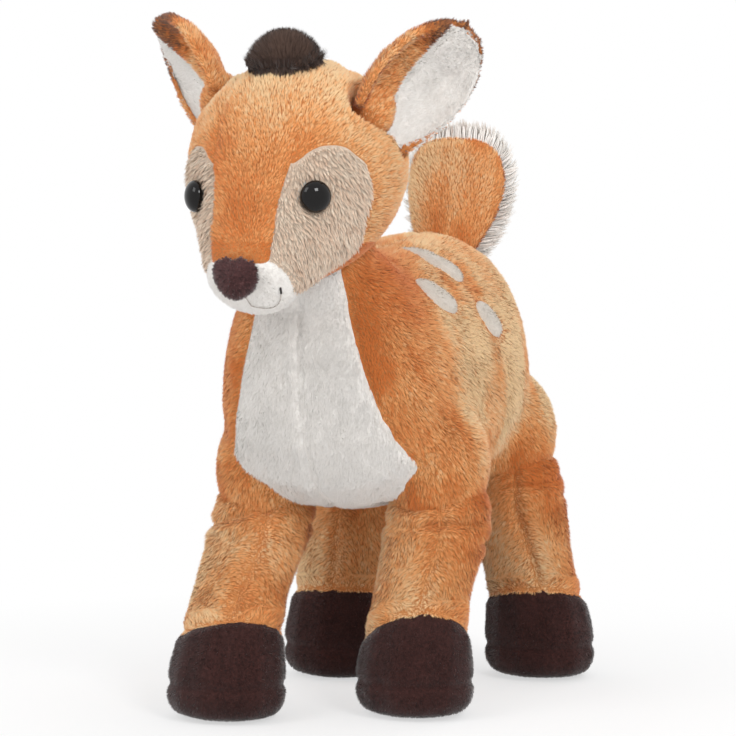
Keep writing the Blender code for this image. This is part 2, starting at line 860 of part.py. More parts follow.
def leg_half_outline(hip, foot, side, gap):
    """The outer half of a leg seen along its seams, its edge on the front seam."""
    reach = side * (torso_width + overrun)
    below, above = foot.x + side * gap, hip.x + side * gap
    return [
        Vector((below, -overrun)), Vector((below, hoof_height)),
        Vector((above, hip.z - hip_radius / 2)), Vector((above, hip.z + overrun)),
        Vector((above + reach, hip.z + overrun)), Vector((below + reach, -overrun)),
    ]


def leg_regions(name, side, hip, foot):
    """What each panel of a leg keeps, drawn along the leg's own turned seams."""
    turn_degrees, seam_height, climb_degrees = leg_seams[name]
    turn = Matrix.Rotation(radians(turn_degrees), 4, "Z")
    hip_seen, foot_seen = turn.inverted() @ hip, turn.inverted() @ foot
    reach = torso_length + overrun
    regions = {}
    for seam, top, climb in (("hoof", seam_height, climb_degrees), ("sole", sole_height, 0)):
        below = hoof_outline(foot_seen.y, top, climb)
        border = hoof_outline(foot_seen.y, top + seam_gap / cos(radians(climb)), climb)
        regions[seam] = prism("%s_%s_region" % (name, seam), below, "X", -reach, reach)
        regions[seam + "_border"] = prism("%s_%s_border" % (name, seam), border, "X", -reach, reach)
    for half, facing in (("outer", side), ("inner", -side)):
        outline = leg_half_outline(hip_seen, foot_seen, facing, seam_gap / 2)
        regions[half] = prism("%s_%s_half" % (name, half), outline, "Y", -reach, reach)
    for region in regions.values():
        region.matrix_world = turn
    return regions


def leg_pieces(name, side, hip, foot):
    """One leg: two panels, hoof upper, sole and filling."""
    whole = loft(name + "_leg_form", leg_stations(hip, foot), leg_sides)
    reach = torso_width + overrun
    depth = torso_length + overrun
    floor_cut = slab(name + "_floor", Vector((-reach, -depth, -overrun)), Vector((reach, depth, 0)))
    lining = grown(whole, -plush_thickness, name + "_leg_lining", coarse=True)
    regions = leg_regions(name, side, hip, foot)
    made = []
    for half in ("outer", "inner"):
        panel = shell(whole, lining, "leg_%s_%s" % (name, half), orange)
        cut(panel, regions["hoof_border"])
        cut(panel, regions[half], "INTERSECT")
        made.append(panel)
    upper = shell(whole, lining, "hoof_" + name, brown)
    cut(upper, regions["hoof"], "INTERSECT")
    cut(upper, regions["sole_border"])
    sole = shell(whole, lining, "sole_" + name, brown)
    cut(sole, regions["sole"], "INTERSECT")
    cut(sole, floor_cut)
    fill = grown(lining, -seam_gap, "leg_fill_" + name, fibre)
    cut(fill, slab(name + "_fill_floor", Vector((-reach, -depth, -overrun)),
                   Vector((reach, depth, short_pile_thickness + seam_gap))))
    made += [upper, sole, fill]
    angles = steps_between(-leg_swing_range, leg_swing_range, 3)
    turns = [turn_about(hip, "X", angle) for angle in angles]
    socket = swept(name + "_socket", [whole], turns, lambda point: point.z > hip.z - hip_radius)
    return made, socket


# Tail

def tail_root():
    return torso_point(tail_root_share, tail_root_height_share)


def tail_pieces():
    root = tail_root()
    stations = []
    line = []
    for back, up, tilt, wide, thick in tail_station_shares:
        centre = root + Vector((0, back * tail_length, up * tail_length))
        stations.append((centre, tilt, wide * tail_width / 2, thick * tail_thickness / 2))
        line.append(Vector((centre.y, centre.z)))
    form = loft("tail_form", stations, tail_sides)
    lining = grown(form, -short_pile_thickness, "tail_lining", coarse=True)
    start = line[0] + (line[0] - line[1]) * 2
    end = line[-1] + (line[-1] - line[-2]) * 3
    path = [start] + line + [end]
    made = []
    reach = tail_width
    for word, finish, direction in (("front", orange, -1), ("back", white, 1)):
        far = Vector((direction * overrun, 0))
        shift = Vector((direction * seam_gap / 2, 0))
        outline = [point + shift for point in path] + [point + far for point in reversed(path)]
        region = prism("tail_half_" + word, outline, "X", -reach, reach)
        panel = shell(form, lining, "tail_" + word, finish)
        cut(panel, region, "INTERSECT")
        made.append(panel)
    fill = grown(lining, -seam_gap, "tail_fill", fibre)
    made.append(fill)
    turns = [turn_about(root, "X", angle) for angle in steps_between(-tail_bend_down, tail_bend_up, 3)]
    seat = tail_length * tail_seat_share
    socket = swept("tail_socket", [form], turns, lambda point: (point - root).length < seat)
    return made, socket


# Ears

def ear_frame(side):
    """Place of the ear's root with its directions, and the line across that it folds on."""
    root = head_point(ear_place_share, ear_up_shares[side])
    root.x = side * ear_out_shares[side] * head_width / 2
    lean = radians(ear_lean_degrees[side])
    face = radians(ear_face_degrees[side])
    up = Vector((side * sin(lean), tan(radians(ear_back_degrees)), cos(lean))).normalized()
    flat = Vector((side * cos(lean), 0, -sin(lean)))
    front = flat.cross(up) * side
    opening = (flat * cos(face) + front * sin(face)).normalized()
    opening = (opening - up * opening.dot(up)).normalized()
    across = opening.cross(up)
    frame = Matrix((across, opening, up)).transposed().to_4x4()
    return Matrix.Translation(root) @ frame, across


def ear_sheet(name, frame, lift, thickness, finish, outward):
    """A cupped leaf of cloth with its thickness."""
    bm = bmesh.new()
    grid = []
    for along, wide in ear_row_shares:
        half = wide * ear_width / 2
        cup = ear_cup * sin(pi * min(0.25 + 0.75 * along, 0.96))
        line = []
        for column in range(ear_columns + 1):
            share = 2 * column / ear_columns - 1
            across = half * sin(share * pi / 2)
            depth = cup * (share * share - 1) * wide
            height = -ear_root_length + (ear_length + ear_root_length) * along
            line.append(bm.verts.new((across, depth + lift, height)))
        grid.append(line)
    for row, following in zip(grid, grid[1:]):
        for column in range(ear_columns):
            bm.faces.new((row[column], following[column], following[column + 1], row[column + 1]))
    mesh = bpy.data.meshes.new(name)
    bm.to_mesh(mesh)
    bm.free()
    mesh.shade_smooth()
    sheet = add_object(name, mesh, finish)
    sheet.matrix_world = frame
    thick = sheet.modifiers.new("thickness", "SOLIDIFY")
    thick.thickness = thickness
    thick.offset = outward
    thick.use_even_offset = True
    return sheet


def ear_pieces(side, word):
    frame, across = ear_frame(side)
    back = ear_sheet("ear_back_" + word, frame, 0, plush_thickness, orange, -1)
    lining = ear_sheet("ear_lining_" + word, frame, ear_gap, ear_lining_thickness, white, 1)
    pivot = frame.translation.copy()
    bpy.context.view_layer.update()
    guide = []
    for sheet in (back, lining):
        mesh = final_mesh(sheet, "ear_guide")
        mesh.transform(frame)
        guide.append(add_object("ear_guide", mesh))
    turns = []
    for angle in steps_between(-ear_fold_range, ear_fold_range, 5):
        turning = Matrix.Rotation(radians(angle), 4, across)
        turns.append(Matrix.Translation(pivot) @ turning @ Matrix.Translation(-pivot))
    socket = swept("ear_socket_" + word, guide, turns,
                   lambda point: (point - pivot).length < ear_width * ear_seat_share, ear_clearance)
    return [back, lining], socket, pivot


def mouth_tube(points):
    """The mouth's stitches as one raised cord."""
    curve = bpy.data.curves.new("mouth_stitches", "CURVE")
    curve.dimensions = "3D"
    line = curve.splines.new("POLY")
    line.points.add(len(points) - 1)
    for point, place in zip(line.points, points):
        point.co = (*place, 1)
    curve.bevel_depth = mouth_thread / 2
    curve.bevel_resolution = 2
    curve.use_fill_caps = True
    return add_object("mouth_stitches", curve, thread)


def head_clearances(form):
    """The room that the head needs over the body as it nods and turns."""
    turns = []
    for nod in steps_between(-neck_nod_range, neck_nod_range, 3):
        for turn in steps_between(-head_turn_range, head_turn_range, 5):
            turns.append(turn_about(neck_centre, "X", nod) @ turn_about(neck_centre, "Z", turn))
    front = head_point(cranium_front_share, 0).y
    back = head_point(jaw_back_share, 0).y
    ceiling = head_point(0, room_top_share).z
    cranium = swept("cranium_room", [form], turns, lambda point: point.z < ceiling and point.y > front)
    jaw = swept("jaw_room", [form], turns, lambda point: point.z < ceiling and point.y < back)
    return [cranium, jaw]


def main():
    """Build every piece and hang it on its joint."""
    global parts, cutters
    clear_scene()
    parts = new_collection("plush_fawn")
    cutters = new_collection("cutters")

    sockets = []
    leg_groups = []
    for name, side, hip_share, hip_height, stride, lean in legs:
        hip, foot = leg_places(side, hip_share, hip_height, stride, lean)
        made, socket = leg_pieces(name, side, hip, foot)
        leg_groups.append((name, hip, made))
        sockets.append(socket)
    tail, tail_socket = tail_pieces()
    sockets.append(tail_socket)

    head_form = head_form_from_rings()
    neck_room = ball("neck_room", neck_centre, (neck_fill_radius + seam_gap) / cos(pi / ball_segments) ** 2)
    sockets += head_clearances(head_form) + [neck_room]
    form, body = body_panels(sockets)
    flanks = {1: bpy.data.objects["flank_left"], -1: bpy.data.objects["flank_right"]}
    body += spot_pieces(form, flanks)
    neck = ball("neck_fill", neck_centre, neck_fill_radius, fibre)

    ears = []
    ear_sockets = []
    for side, word in ((1, "left"), (-1, "right")):
        pieces, socket, pivot = ear_pieces(side, word)
        ears.append((word, pieces, pivot))
        ear_sockets.append(socket)
    panels = head_panels(head_form, [neck_room] + ear_sockets)
    tree = surface_tree(head_form)
    face = eye_pieces(tree, panels)
    face += [nose_piece(head_form), tuft_piece(head_form), mouth_tube(mouth_piece(head_form))]

    nod = hinge("neck_nod", neck_centre, [neck])
    turn = hinge("head_turn", neck_centre, list(panels.values()) + face, nod)
    for word, pieces, pivot in ears:
        hinge("ear_%s_fold" % word, pivot, pieces, turn)
    hinge("tail_bend", tail_root(), tail)
    for name, hip, made in leg_groups:
        hinge("leg_%s_swing" % name, hip, made)


if __name__ == "__main__":
    main()
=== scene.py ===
"""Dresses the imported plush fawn: stuffed cloth skins, sewn seams, combed pile, face and stage.

Each stuffed part is one swollen skin made from its CAD solids and parted into the sewn panels,
so every panel is a piece of its own with its own pile. Lengths are in metres.
"""

import json
import math

import bpy
import numpy as np
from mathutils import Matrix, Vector
from mathutils.bvhtree import BVHTree
from mathutils.kdtree import KDTree


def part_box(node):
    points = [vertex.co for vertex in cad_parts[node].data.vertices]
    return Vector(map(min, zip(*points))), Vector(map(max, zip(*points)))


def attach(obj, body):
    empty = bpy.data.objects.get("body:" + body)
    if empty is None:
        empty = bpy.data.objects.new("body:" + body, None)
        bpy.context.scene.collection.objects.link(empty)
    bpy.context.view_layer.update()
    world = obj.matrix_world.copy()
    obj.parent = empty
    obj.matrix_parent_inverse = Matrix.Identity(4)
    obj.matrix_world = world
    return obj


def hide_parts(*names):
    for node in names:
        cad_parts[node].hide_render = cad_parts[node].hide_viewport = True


bl_info = {
    "name": "Plush Fawn Dressing",
    "version": (1, 0, 0),
    "blender": (4, 5, 0),
    "location": "3D View > Sidebar > Fawn",
    "description": "Sews, stuffs and combs the plush fawn over its packed frame",
    "category": "Object",
}

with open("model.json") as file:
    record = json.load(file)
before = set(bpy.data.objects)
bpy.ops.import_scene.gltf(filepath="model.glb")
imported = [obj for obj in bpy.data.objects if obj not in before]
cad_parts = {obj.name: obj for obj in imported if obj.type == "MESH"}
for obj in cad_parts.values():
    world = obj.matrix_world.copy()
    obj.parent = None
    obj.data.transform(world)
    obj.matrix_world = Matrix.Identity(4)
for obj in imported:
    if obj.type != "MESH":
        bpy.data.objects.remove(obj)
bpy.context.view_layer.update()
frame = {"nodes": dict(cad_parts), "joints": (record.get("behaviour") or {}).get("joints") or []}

MM = 0.001
UP = np.array((0.0, 0.0, 1.0))
SIDES = ("left", "right")
LEGS = ("front_left", "front_right", "back_left", "back_right")
SPOTS = tuple(f"spot_{side}_{place}" for side in SIDES for place in ("upper", "front", "rear"))

# The group of each kind of plush, which sets how its cloth is dyed
SLOTS = {
    "orange": "orange_plush",
    "ear_back": "orange_plush",
    "white": "white_plush",
    "taupe": "taupe_plush",
    "spot": "spot_plush",
    "hoof": "brown_short_pile",
    "nose": "brown_short_pile",
    "tuft": "dark_long_pile",
}

# Distances are measured up to this, and a panel without neighbours is as far as this from a seam
FAR = 0.03
# A seam's furrow is this wide, and the cloth is held this near to it while the filling swells the rest
SEAM_WIDTH = 2.0 * MM
SEAM_HOLD = 2.6 * MM
# Where a form of cloth that the solids lack meets them, they keep the skin up to this far out
LAP = 1.8 * MM
# What the filling presses with, as the cloth simulation counts it
PRESSURE = 4.0
# How tight a stuffed panel is, from 0 to 1
TIGHT = 0.85

# The haunches, rounds of cloth over the legs' tops: the hem's height, how far each stands to the
# fawn's left of its hip, how high over the hem its middle is, and its half sizes
HEMS = {"front_left": 95 * MM, "front_right": 91 * MM, "back_left": 100 * MM, "back_right": 98 * MM}
HAUNCH_ASIDE = {"front_left": 2 * MM, "front_right": 4.5 * MM, "back_left": -3 * MM, "back_right": 3 * MM}
HAUNCH_RISE = 6 * MM
HAUNCH_REACH = (22.4 * MM, 23 * MM, 28 * MM)
# The collar, a round of cloth over the neck's stuffing, and half the width of its white front and
# of the neck's own
COLLAR_REACH = 25 * MM
COLLAR_FRONT = 20.5 * MM
NECK_FRONT = 17.5 * MM

# The folds in the legs' cloth: angle round the leg in degrees, height, depth, reach in degrees, slope
FOLDS = {
    "front_left": (
        (-60, 79 * MM, 2.3 * MM, 55, 1 * MM),
        (-110, 86 * MM, 1.6 * MM, 30, -4 * MM),
        (20, 70 * MM, 1.4 * MM, 40, 2 * MM),
        (160, 76 * MM, 1.6 * MM, 50, 2 * MM),
    ),
    "front_right": (
        (-100, 80 * MM, 1.9 * MM, 45, 5 * MM),
        (-150, 74 * MM, 1.5 * MM, 35, -3 * MM),
        (30, 76 * MM, 1.6 * MM, 60, 2 * MM),
    ),
    "back_left": (
        (-40, 86 * MM, 1.9 * MM, 50, 3 * MM),
        (60, 78 * MM, 1.5 * MM, 40, -3 * MM),
        (170, 82 * MM, 1.5 * MM, 50, 2 * MM),
    ),
    "back_right": (
        (-120, 85 * MM, 1.8 * MM, 50, -3 * MM),
        (120, 78 * MM, 1.6 * MM, 45, 3 * MM),
        (0, 82 * MM, 1.4 * MM, 50, 2 * MM),
    ),
}
# How far the front legs' skins move to the fawn's left at their tops
FRONT_LEG_SHIFT = 3.5 * MM
# How far up a leg its hoof's short pile reaches past the solids' seam
HOOF_RISES = {"front_left": 4.6 * MM, "front_right": 6.4 * MM, "back_left": 4.6 * MM, "back_right": 4.8 * MM}

# Where the rolled fold of an ear's inner edge lies at the root and at the tip, in half ears inward
EAR_FOLDS = {"left": (0.02, 0.72), "right": (-0.35, 0.15)}
# How much wider and higher than its solid an eye's dome is drawn
EYE_WIDER, EYE_HIGHER = 1.14, 1.08
# The points that the mouth's thread passes, in millimetres, from the nose to the smile's left end
MOUTH = (
    (0.06, -104.17, 170.32),
    (0.43, -98.15, 165.27),
    (5.4, -96.08, 164.04),
    (11.05, -96.05, 165.26),
    (14.63, -98.99, 168.83),
    (15.37, -101.75, 172.71),
)

# The picture's width in pixels, the camera's sensor in millimetres, and how far the camera's line of
# sight passes the fawn's origin: on its left in the picture, and behind it
PICTURE = 736
SENSOR = 36.0
SIGHT_LEFT = 0.0059
SIGHT_BEHIND = 0.0209
# How brightly the white room lights the fawn, next to how bright it looks
ROOM_LIGHT = 0.74


# Settings


def length_of(name, default, description):
    """A length in metres for a settings panel."""
    return bpy.props.FloatProperty(
        name=name,
        description=description,
        default=default,
        min=0.0,
        precision=5,
        unit="LENGTH",
        subtype="DISTANCE",
    )


def number_of(name, default, description, subtype="NONE"):
    """A number for a settings panel."""
    return bpy.props.FloatProperty(name=name, description=description, default=default, subtype=subtype)


def colour_of(name, rgb, description):
    """A colour for a settings panel, given as it is seen, 0 to 255."""
    return bpy.props.FloatVectorProperty(
        name=name,
        description=description,
        default=seen(rgb),
        size=3,
        min=0.0,
        max=1.0,
        subtype="COLOR",
    )


def seen(rgb):
    """A colour as seen on a screen, 0 to 255, in the renderer's linear light."""
    shares = [value / 255 for value in rgb]
    return tuple(s / 12.92 if s <= 0.04045 else ((s + 0.055) / 1.055) ** 2.4 for s in shares)


class FawnColours(bpy.types.PropertyGroup):
    """The dyes of the cloths."""

    orange_deep: colour_of("Orange, deep", (226, 129, 63), "Printed plush where the dye is deepest")
    orange_middle: colour_of("Orange", (250, 180, 114), "Printed plush")
    orange_pale: colour_of("Orange, pale", (255, 223, 174), "Printed plush where the dye is palest")
    white_shade: colour_of("White, shaded", (241, 236, 230), "White plush between its locks")
    white_bright: colour_of("White", (253, 250, 246), "White plush on its locks")
    taupe_deep: colour_of("Taupe, deep", (240, 208, 182), "Eye patches between their locks")
    taupe_pale: colour_of("Taupe, pale", (255, 240, 220), "Eye patches on their locks")
    hoof: colour_of("Hoof brown", (62, 35, 32), "Short pile of the hooves")
    nose: colour_of("Nose brown", (84, 54, 54), "Short pile of the nose")
    tuft: colour_of("Tuft", (88, 69, 60), "Long pile between the ears")
    ear_tip: colour_of("Ear tip", (104, 76, 62), "Dark tips of the ears")
    spot: colour_of("Spots", (226, 217, 206), "The spots let into the flanks")


class FawnPile(bpy.types.PropertyGroup):
    """How long and how dense the piles are."""

    plush_length: length_of("Plush pile", 2.4 * MM, "Length of the orange pile")
    bib_length: length_of("Bib pile", 2.0 * MM, "Length of the white pile of the bib")
    patch_length: length_of("Patch pile", 3.0 * MM, "Length of the taupe pile")
    velour_length: length_of("Velour pile", 1.1 * MM, "Length of the hooves' and nose's pile")
    fringe_length: length_of("Tail pile", 8.5 * MM, "Length of the white pile behind the tail")
    tuft_length: length_of("Tuft pile", 4.2 * MM, "Length of the tuft's pile")
    seam_depth: length_of("Seam depth", 1.3 * MM, "How far a seam draws the cloth in")
    density: number_of("Density", 1.0, "Locks, as a share of the usual number", "FACTOR")


class FawnStage(bpy.types.PropertyGroup):
    """Where the camera stands."""

    azimuth: number_of("Azimuth", math.radians(25), "Where the camera stands round the fawn", "ANGLE")
    distance: length_of("Distance", 1.150, "From the camera to the fawn's middle")
    height: length_of("Height", 0.215, "The camera's height over the floor")
    lens: number_of("Lens", 136.7, "Focal length in mm")
    horizon: number_of("Horizon", 176.0, "Row of the horizon in the picture")


# Shader maths


class Wire:
    """A shader value. Sums and products written on it add the nodes that work them out."""

    def __init__(self, tree, socket):
        self.tree, self.socket = tree, socket

    def __add__(self, other):
        return self.tree.maths("ADD", self, other)

    def __radd__(self, other):
        return self.tree.maths("ADD", other, self)

    def __sub__(self, other):
        return self.tree.maths("SUBTRACT", self, other)

    def __rsub__(self, other):
        return self.tree.maths("SUBTRACT", other, self)

    def __mul__(self, other):
        return self.tree.maths("MULTIPLY", self, other)

    def __rmul__(self, other):
        return self.tree.maths("MULTIPLY", other, self)

    def __truediv__(self, other):
        return self.tree.maths("DIVIDE", self, other)

    def __rtruediv__(self, other):
        return self.tree.maths("DIVIDE", other, self)

    def held(self):
        """The value kept between 0 and 1."""
        wire = self * 1.0
        wire.socket.node.use_clamp = True
        return wire


class Tree:
    """A node tree under construction."""

    def __init__(self, tree):
        self.nodes, self.links = tree.nodes, tree.links

    def node(self, kind, settings=None, inputs=None):
        """A node of that type: its settings first, then the values or wires of its sockets."""
        made = self.nodes.new(kind)
        for key, value in (settings or {}).items():
            if key == "stops":
                elements = made.color_ramp.elements
                while len(elements) < len(value):
                    elements.new(0.5)
                for element, (place, colour) in zip(elements, value):
                    element.position, element.color = place, (*colour, 1.0)
            else:
                setattr(made, key, value)
        for key, value in (inputs or {}).items():
            self.feed(made.inputs[key], value)
        return made

    def feed(self, socket, value):
        """Sets a socket, or links it to a wire."""
        if isinstance(value, Wire):
            self.links.new(value.socket, socket)
        else:
            socket.default_value = value

    def wire(self, made, output=0):
        """A node's output as a wire."""
        return Wire(self, made.outputs[output])

    def maths(self, operation, *values):
        """A sum or other operation on wires and numbers."""
        return self.wire(self.node("ShaderNodeMath", {"operation": operation}, dict(enumerate(values))))

    def looked_at(self):
        """1 where a surface is seen, in a mirror or glass too, and 0 for the light that it sheds."""
        path = self.node("ShaderNodeLightPath")
        seen_by = self.maths("MAXIMUM", self.wire(path, "Is Camera Ray"), self.wire(path, "Is Glossy Ray"))
        return self.maths("MAXIMUM", seen_by, self.wire(path, "Is Transmission Ray"))


class Finish(Tree):
    """A material under construction."""

    def __init__(self, name):
        self.material = bpy.data.materials.new(name)
        self.material.use_nodes = True
        super().__init__(self.material.node_tree)
        self.shader = self.nodes["Principled BSDF"]

    def mixed(self, share, first, second, blend="MIX"):
        """Two colours mixed by a share."""
        first, second = [value if isinstance(value, Wire) else (*value, 1.0) for value in (first, second)]
        settings = {"data_type": "RGBA", "blend_type": blend}
        return self.wire(self.node("ShaderNodeMix", settings, {0: share, 6: first, 7: second}), 2)

    def ramp(self, value, *stops):
        """A colour ramp over a value."""
        return self.wire(self.node("ShaderNodeValToRGB", {"stops": stops}, {0: value}))

    def place(self):
        """The place on the piece, in metres."""
        return self.wire(self.node("ShaderNodeTexCoord"), "Object")

    def noise(self, size, detail=2.0):
        """Noise with features of about that size, from 0 to 1."""
        inputs = {"Vector": self.place(), "Scale": 1.0 / size, "Detail": detail}
        return self.wire(self.node("ShaderNodeTexNoise", None, inputs))

    def bump(self, height, depth):
        """A bump of that depth on the shader."""
        made = self.node("ShaderNodeBump", None, {"Height": height, "Distance": depth, "Strength": 1.0})
        self.feed(self.shader.inputs["Normal"], self.wire(made))

    def set(self, **values):
        """Sets the shader's own sockets, a space written as an underscore."""
        for key, value in values.items():
            self.feed(self.shader.inputs[key.replace("_", " ")], value)


def pile_finish(name, tones, root_shade, sheen):
    """A pile's fibre: its map's first way is the dye's tone, and its second runs from root to tip."""
    finish = Finish(name)
    uv = finish.node("ShaderNodeUVMap", {"uv_map": "OFBake"})
    parts = finish.node("ShaderNodeSeparateXYZ", None, {0: finish.wire(uv)})
    tone, along = finish.wire(parts, 0), finish.wire(parts, 1)
    dye = finish.ramp(tone, *zip(np.linspace(0, 1, len(tones)).tolist(), tones))
    lightening = 1.8  # fibres are at their brightest from little over half their length on
    # Fibres darker towards the root: partly their paler printed tips, partly painted shade deep in the pile
    light = (root_shade + (1 - root_shade) * (along * lightening)).held()
    grey = finish.wire(finish.node("ShaderNodeCombineColor", None, {0: light, 1: light, 2: light}))
    finish.set(
        Base_Color=finish.mixed(1.0, dye, grey, "MULTIPLY"),
        Roughness=0.85,
        Sheen_Weight=sheen,
        Sheen_Roughness=0.5,
        Specular_IOR_Level=0.15,
    )
    return finish.material


def cloth_finish(name, deep, pale):
    """A knitted ground with its pile seen from above: fine fibre grain over slow blotches."""
    finish = Finish(name)
    fibres, blotches = finish.noise(0.9 * MM, 3.0), finish.noise(14 * MM, 1.0)
    share = ((fibres - 0.5) * 1.1 + (blotches - 0.5) * 0.7 + 0.5).held()
    colour = finish.mixed(share, deep, pale)
    finish.set(Base_Color=colour, Roughness=0.92, Sheen_Weight=0.2, Specular_IOR_Level=0.15)
    finish.bump(fibres, 0.25 * MM)
    return finish.material


def plain_finish(name, deep, pale, grain, **values):
    """A plain material whose colour wavers between two, given as they are seen."""
    finish = Finish(name)
    finish.set(Base_Color=finish.mixed(finish.noise(grain), seen(deep), seen(pale)), **values)
    return finish.material


# Fields and forms


def unit(vectors):
    """Vectors made one long."""
    return vectors / np.maximum(np.linalg.norm(vectors, axis=1, keepdims=True), 1e-12)


def smooth_step(values, low, high):
    """0 below low, 1 above high, smooth between."""
    share = np.clip((values - low) / (high - low), 0, 1)
    return share * share * (3 - 2 * share)


def bell(values, width):
    """1 at 0, falling off on both sides over about that width."""
    return np.exp(-((values / width) ** 2))


def shaded(share, colour):
    """A colour made darker, or brighter by a share over 1."""
    return tuple(share * value for value in colour)


def drift(points, size, seed):
    """A slow random field from -1 to 1, with features of about that size."""
    scaled = points / size + seed * 3.7
    cell = np.floor(scaled).astype(np.int64)
    part = scaled - cell
    part = part * part * (3 - 2 * part)
    total = np.zeros(len(points))
    for corner in range(8):
        step = np.array([corner & 1, corner >> 1 & 1, corner >> 2 & 1])
        key = cell + step
        code = key[:, 0] * 73856093 ^ key[:, 1] * 19349663 ^ key[:, 2] * 83492791 ^ seed * 2654435
        code = (code ^ (code >> 13)) * 1274126177 & 0xFFFFFFFF
        code = (code ^ (code >> 16)) * 2246822519 & 0xFFFFFFFF
        weight = np.prod(np.where(step == 1, part, 1 - part), axis=1)
        total += weight * (code / 0x7FFFFFFF - 1)
    return total


def node_mesh(*nodes, extra=()):
    """The vertices and triangles of CAD nodes, together with any extra forms."""
    points, faces, start = [], [], 0
    for own, corners in extra:
        points.append(own)
        faces.append(corners + start)
        start += len(own)
    for node in nodes:
        mesh = frame["nodes"][node].data
        mesh.calc_loop_triangles()
        own = np.zeros(len(mesh.vertices) * 3, np.float32)
        mesh.vertices.foreach_get("co", own)
        corners = np.zeros(len(mesh.loop_triangles) * 3, np.int32)
        mesh.loop_triangles.foreach_get("vertices", corners)
        points.append(own.reshape(-1, 3).astype(float))
        faces.append(corners.reshape(-1, 3) + start)
        start += len(mesh.vertices)
    return np.concatenate(points), np.concatenate(faces)


def tree_of(*nodes, extra=()):
    """A search tree over CAD nodes and any extra forms."""
    points, faces = node_mesh(*nodes, extra=extra)
    return BVHTree.FromPolygons(points.tolist(), faces.tolist())


def distances(points, tree):
    """How far each point is from a tree's surface, up to FAR."""
    found = np.full(len(points), FAR)
    for row, point in enumerate(points):
        hit = tree.find_nearest(point, FAR)
        if hit[3] is not None:
            found[row] = hit[3]
    return found


def mesh_from(name, points, faces):
    """A mesh from arrays."""
    mesh = bpy.data.meshes.new(name)
    mesh.from_pydata(points.tolist(), [], [list(face) for face in faces])
    mesh.update()
    return mesh


def shown(name, mesh):
    """A new object in the scene."""
    made = bpy.data.objects.new(name, mesh)
    bpy.context.scene.collection.objects.link(made)
    return made


def applied(made):
    """The object's mesh with its modifiers worked in, and the object cleared of them."""
    bpy.context.view_layer.update()
    graph = bpy.context.evaluated_depsgraph_get()
    mesh = bpy.data.meshes.new_from_object(made.evaluated_get(graph))
    old = made.data
    made.modifiers.clear()
    made.data = mesh
    bpy.data.meshes.remove(old)
    return made


def points_of(mesh):
    """A mesh's vertices as an array."""
    found = np.zeros(len(mesh.vertices) * 3, np.float32)
    mesh.vertices.foreach_get("co", found)
    return found.reshape(-1, 3).astype(float)


def set_points(mesh, points):
    """Moves a mesh's vertices."""
    mesh.vertices.foreach_set("co", points.astype(np.float32).ravel())
    mesh.update()


def normals_of(mesh):
    """A mesh's vertex normals as an array."""
    found = np.zeros(len(mesh.vertices) * 3, np.float32)
    mesh.vertex_normals.foreach_get("vector", found)
    return found.reshape(-1, 3).astype(float)


def edges_of(mesh):
    """A mesh's edges as pairs of vertices."""
    found = np.zeros(len(mesh.edges) * 2, np.int32)
    mesh.edges.foreach_get("vertices", found)
    return found.reshape(-1, 2)


def relaxed(values, edges, count, turns, share=0.5):
    """Values at vertices evened out along the edges."""
    values = values.copy()
    degree = np.bincount(edges.ravel(), minlength=count)
    degree = np.maximum(degree, 1).reshape(-1, *[1] * (values.ndim - 1))
    for _ in range(turns):
        total = np.zeros_like(values)
        np.add.at(total, edges[:, 0], values[edges[:, 1]])
        np.add.at(total, edges[:, 1], values[edges[:, 0]])
        values += (total / degree - values) * share
    return values


def rounded(mesh, turns):
    """Evens a remeshed form out and keeps its volume: each turn shrinks it and swells it again."""
    points, edges = points_of(mesh), edges_of(mesh)
    for _ in range(turns):
        for share in (0.55, -0.53):
            points = relaxed(points, edges, len(points), 1, share)
    set_points(mesh, points)


def round_form(centre, reach, around=40, rings=20):
    """A closed oval form of cloth, as points and triangles."""
    points = [(0.0, 0.0, -1.0)]
    for level in np.linspace(-math.pi / 2, math.pi / 2, rings + 1)[1:-1]:
        out = math.cos(level)
        for turn in np.linspace(0, 2 * math.pi, around, endpoint=False):
            points.append((out * math.cos(turn), out * math.sin(turn), math.sin(level)))
    points.append((0.0, 0.0, 1.0))
    faces = []
    for i in range(around):
        j = (i + 1) % around
        faces.append((0, 1 + j, 1 + i))
        for ring in range(rings - 2):
            a, b = 1 + ring * around, 1 + (ring + 1) * around
            faces += [(a + i, a + j, b + j), (a + i, b + j, b + i)]
        last = 1 + (rings - 2) * around
        faces.append((last + i, last + j, len(points) - 1))
    return np.array(points) * np.array(reach) + np.array(centre), np.array(faces)


def joint_place(name):
    """Where a joint turns."""
    joint = next(joint for joint in frame["joints"] if joint["name"] == name)
    return np.array(joint.get("pos_m") or joint.get("origin_m"))


def remeshed(name, nodes, voxel, extra=()):
    """One closed form round several CAD solids and any extra forms."""
    made = shown(name, mesh_from(name, *node_mesh(*nodes, extra=extra)))
    remesh = made.modifiers.new("remesh", "REMESH")
    remesh.mode, remesh.voxel_size = "VOXEL", voxel
    return applied(made)


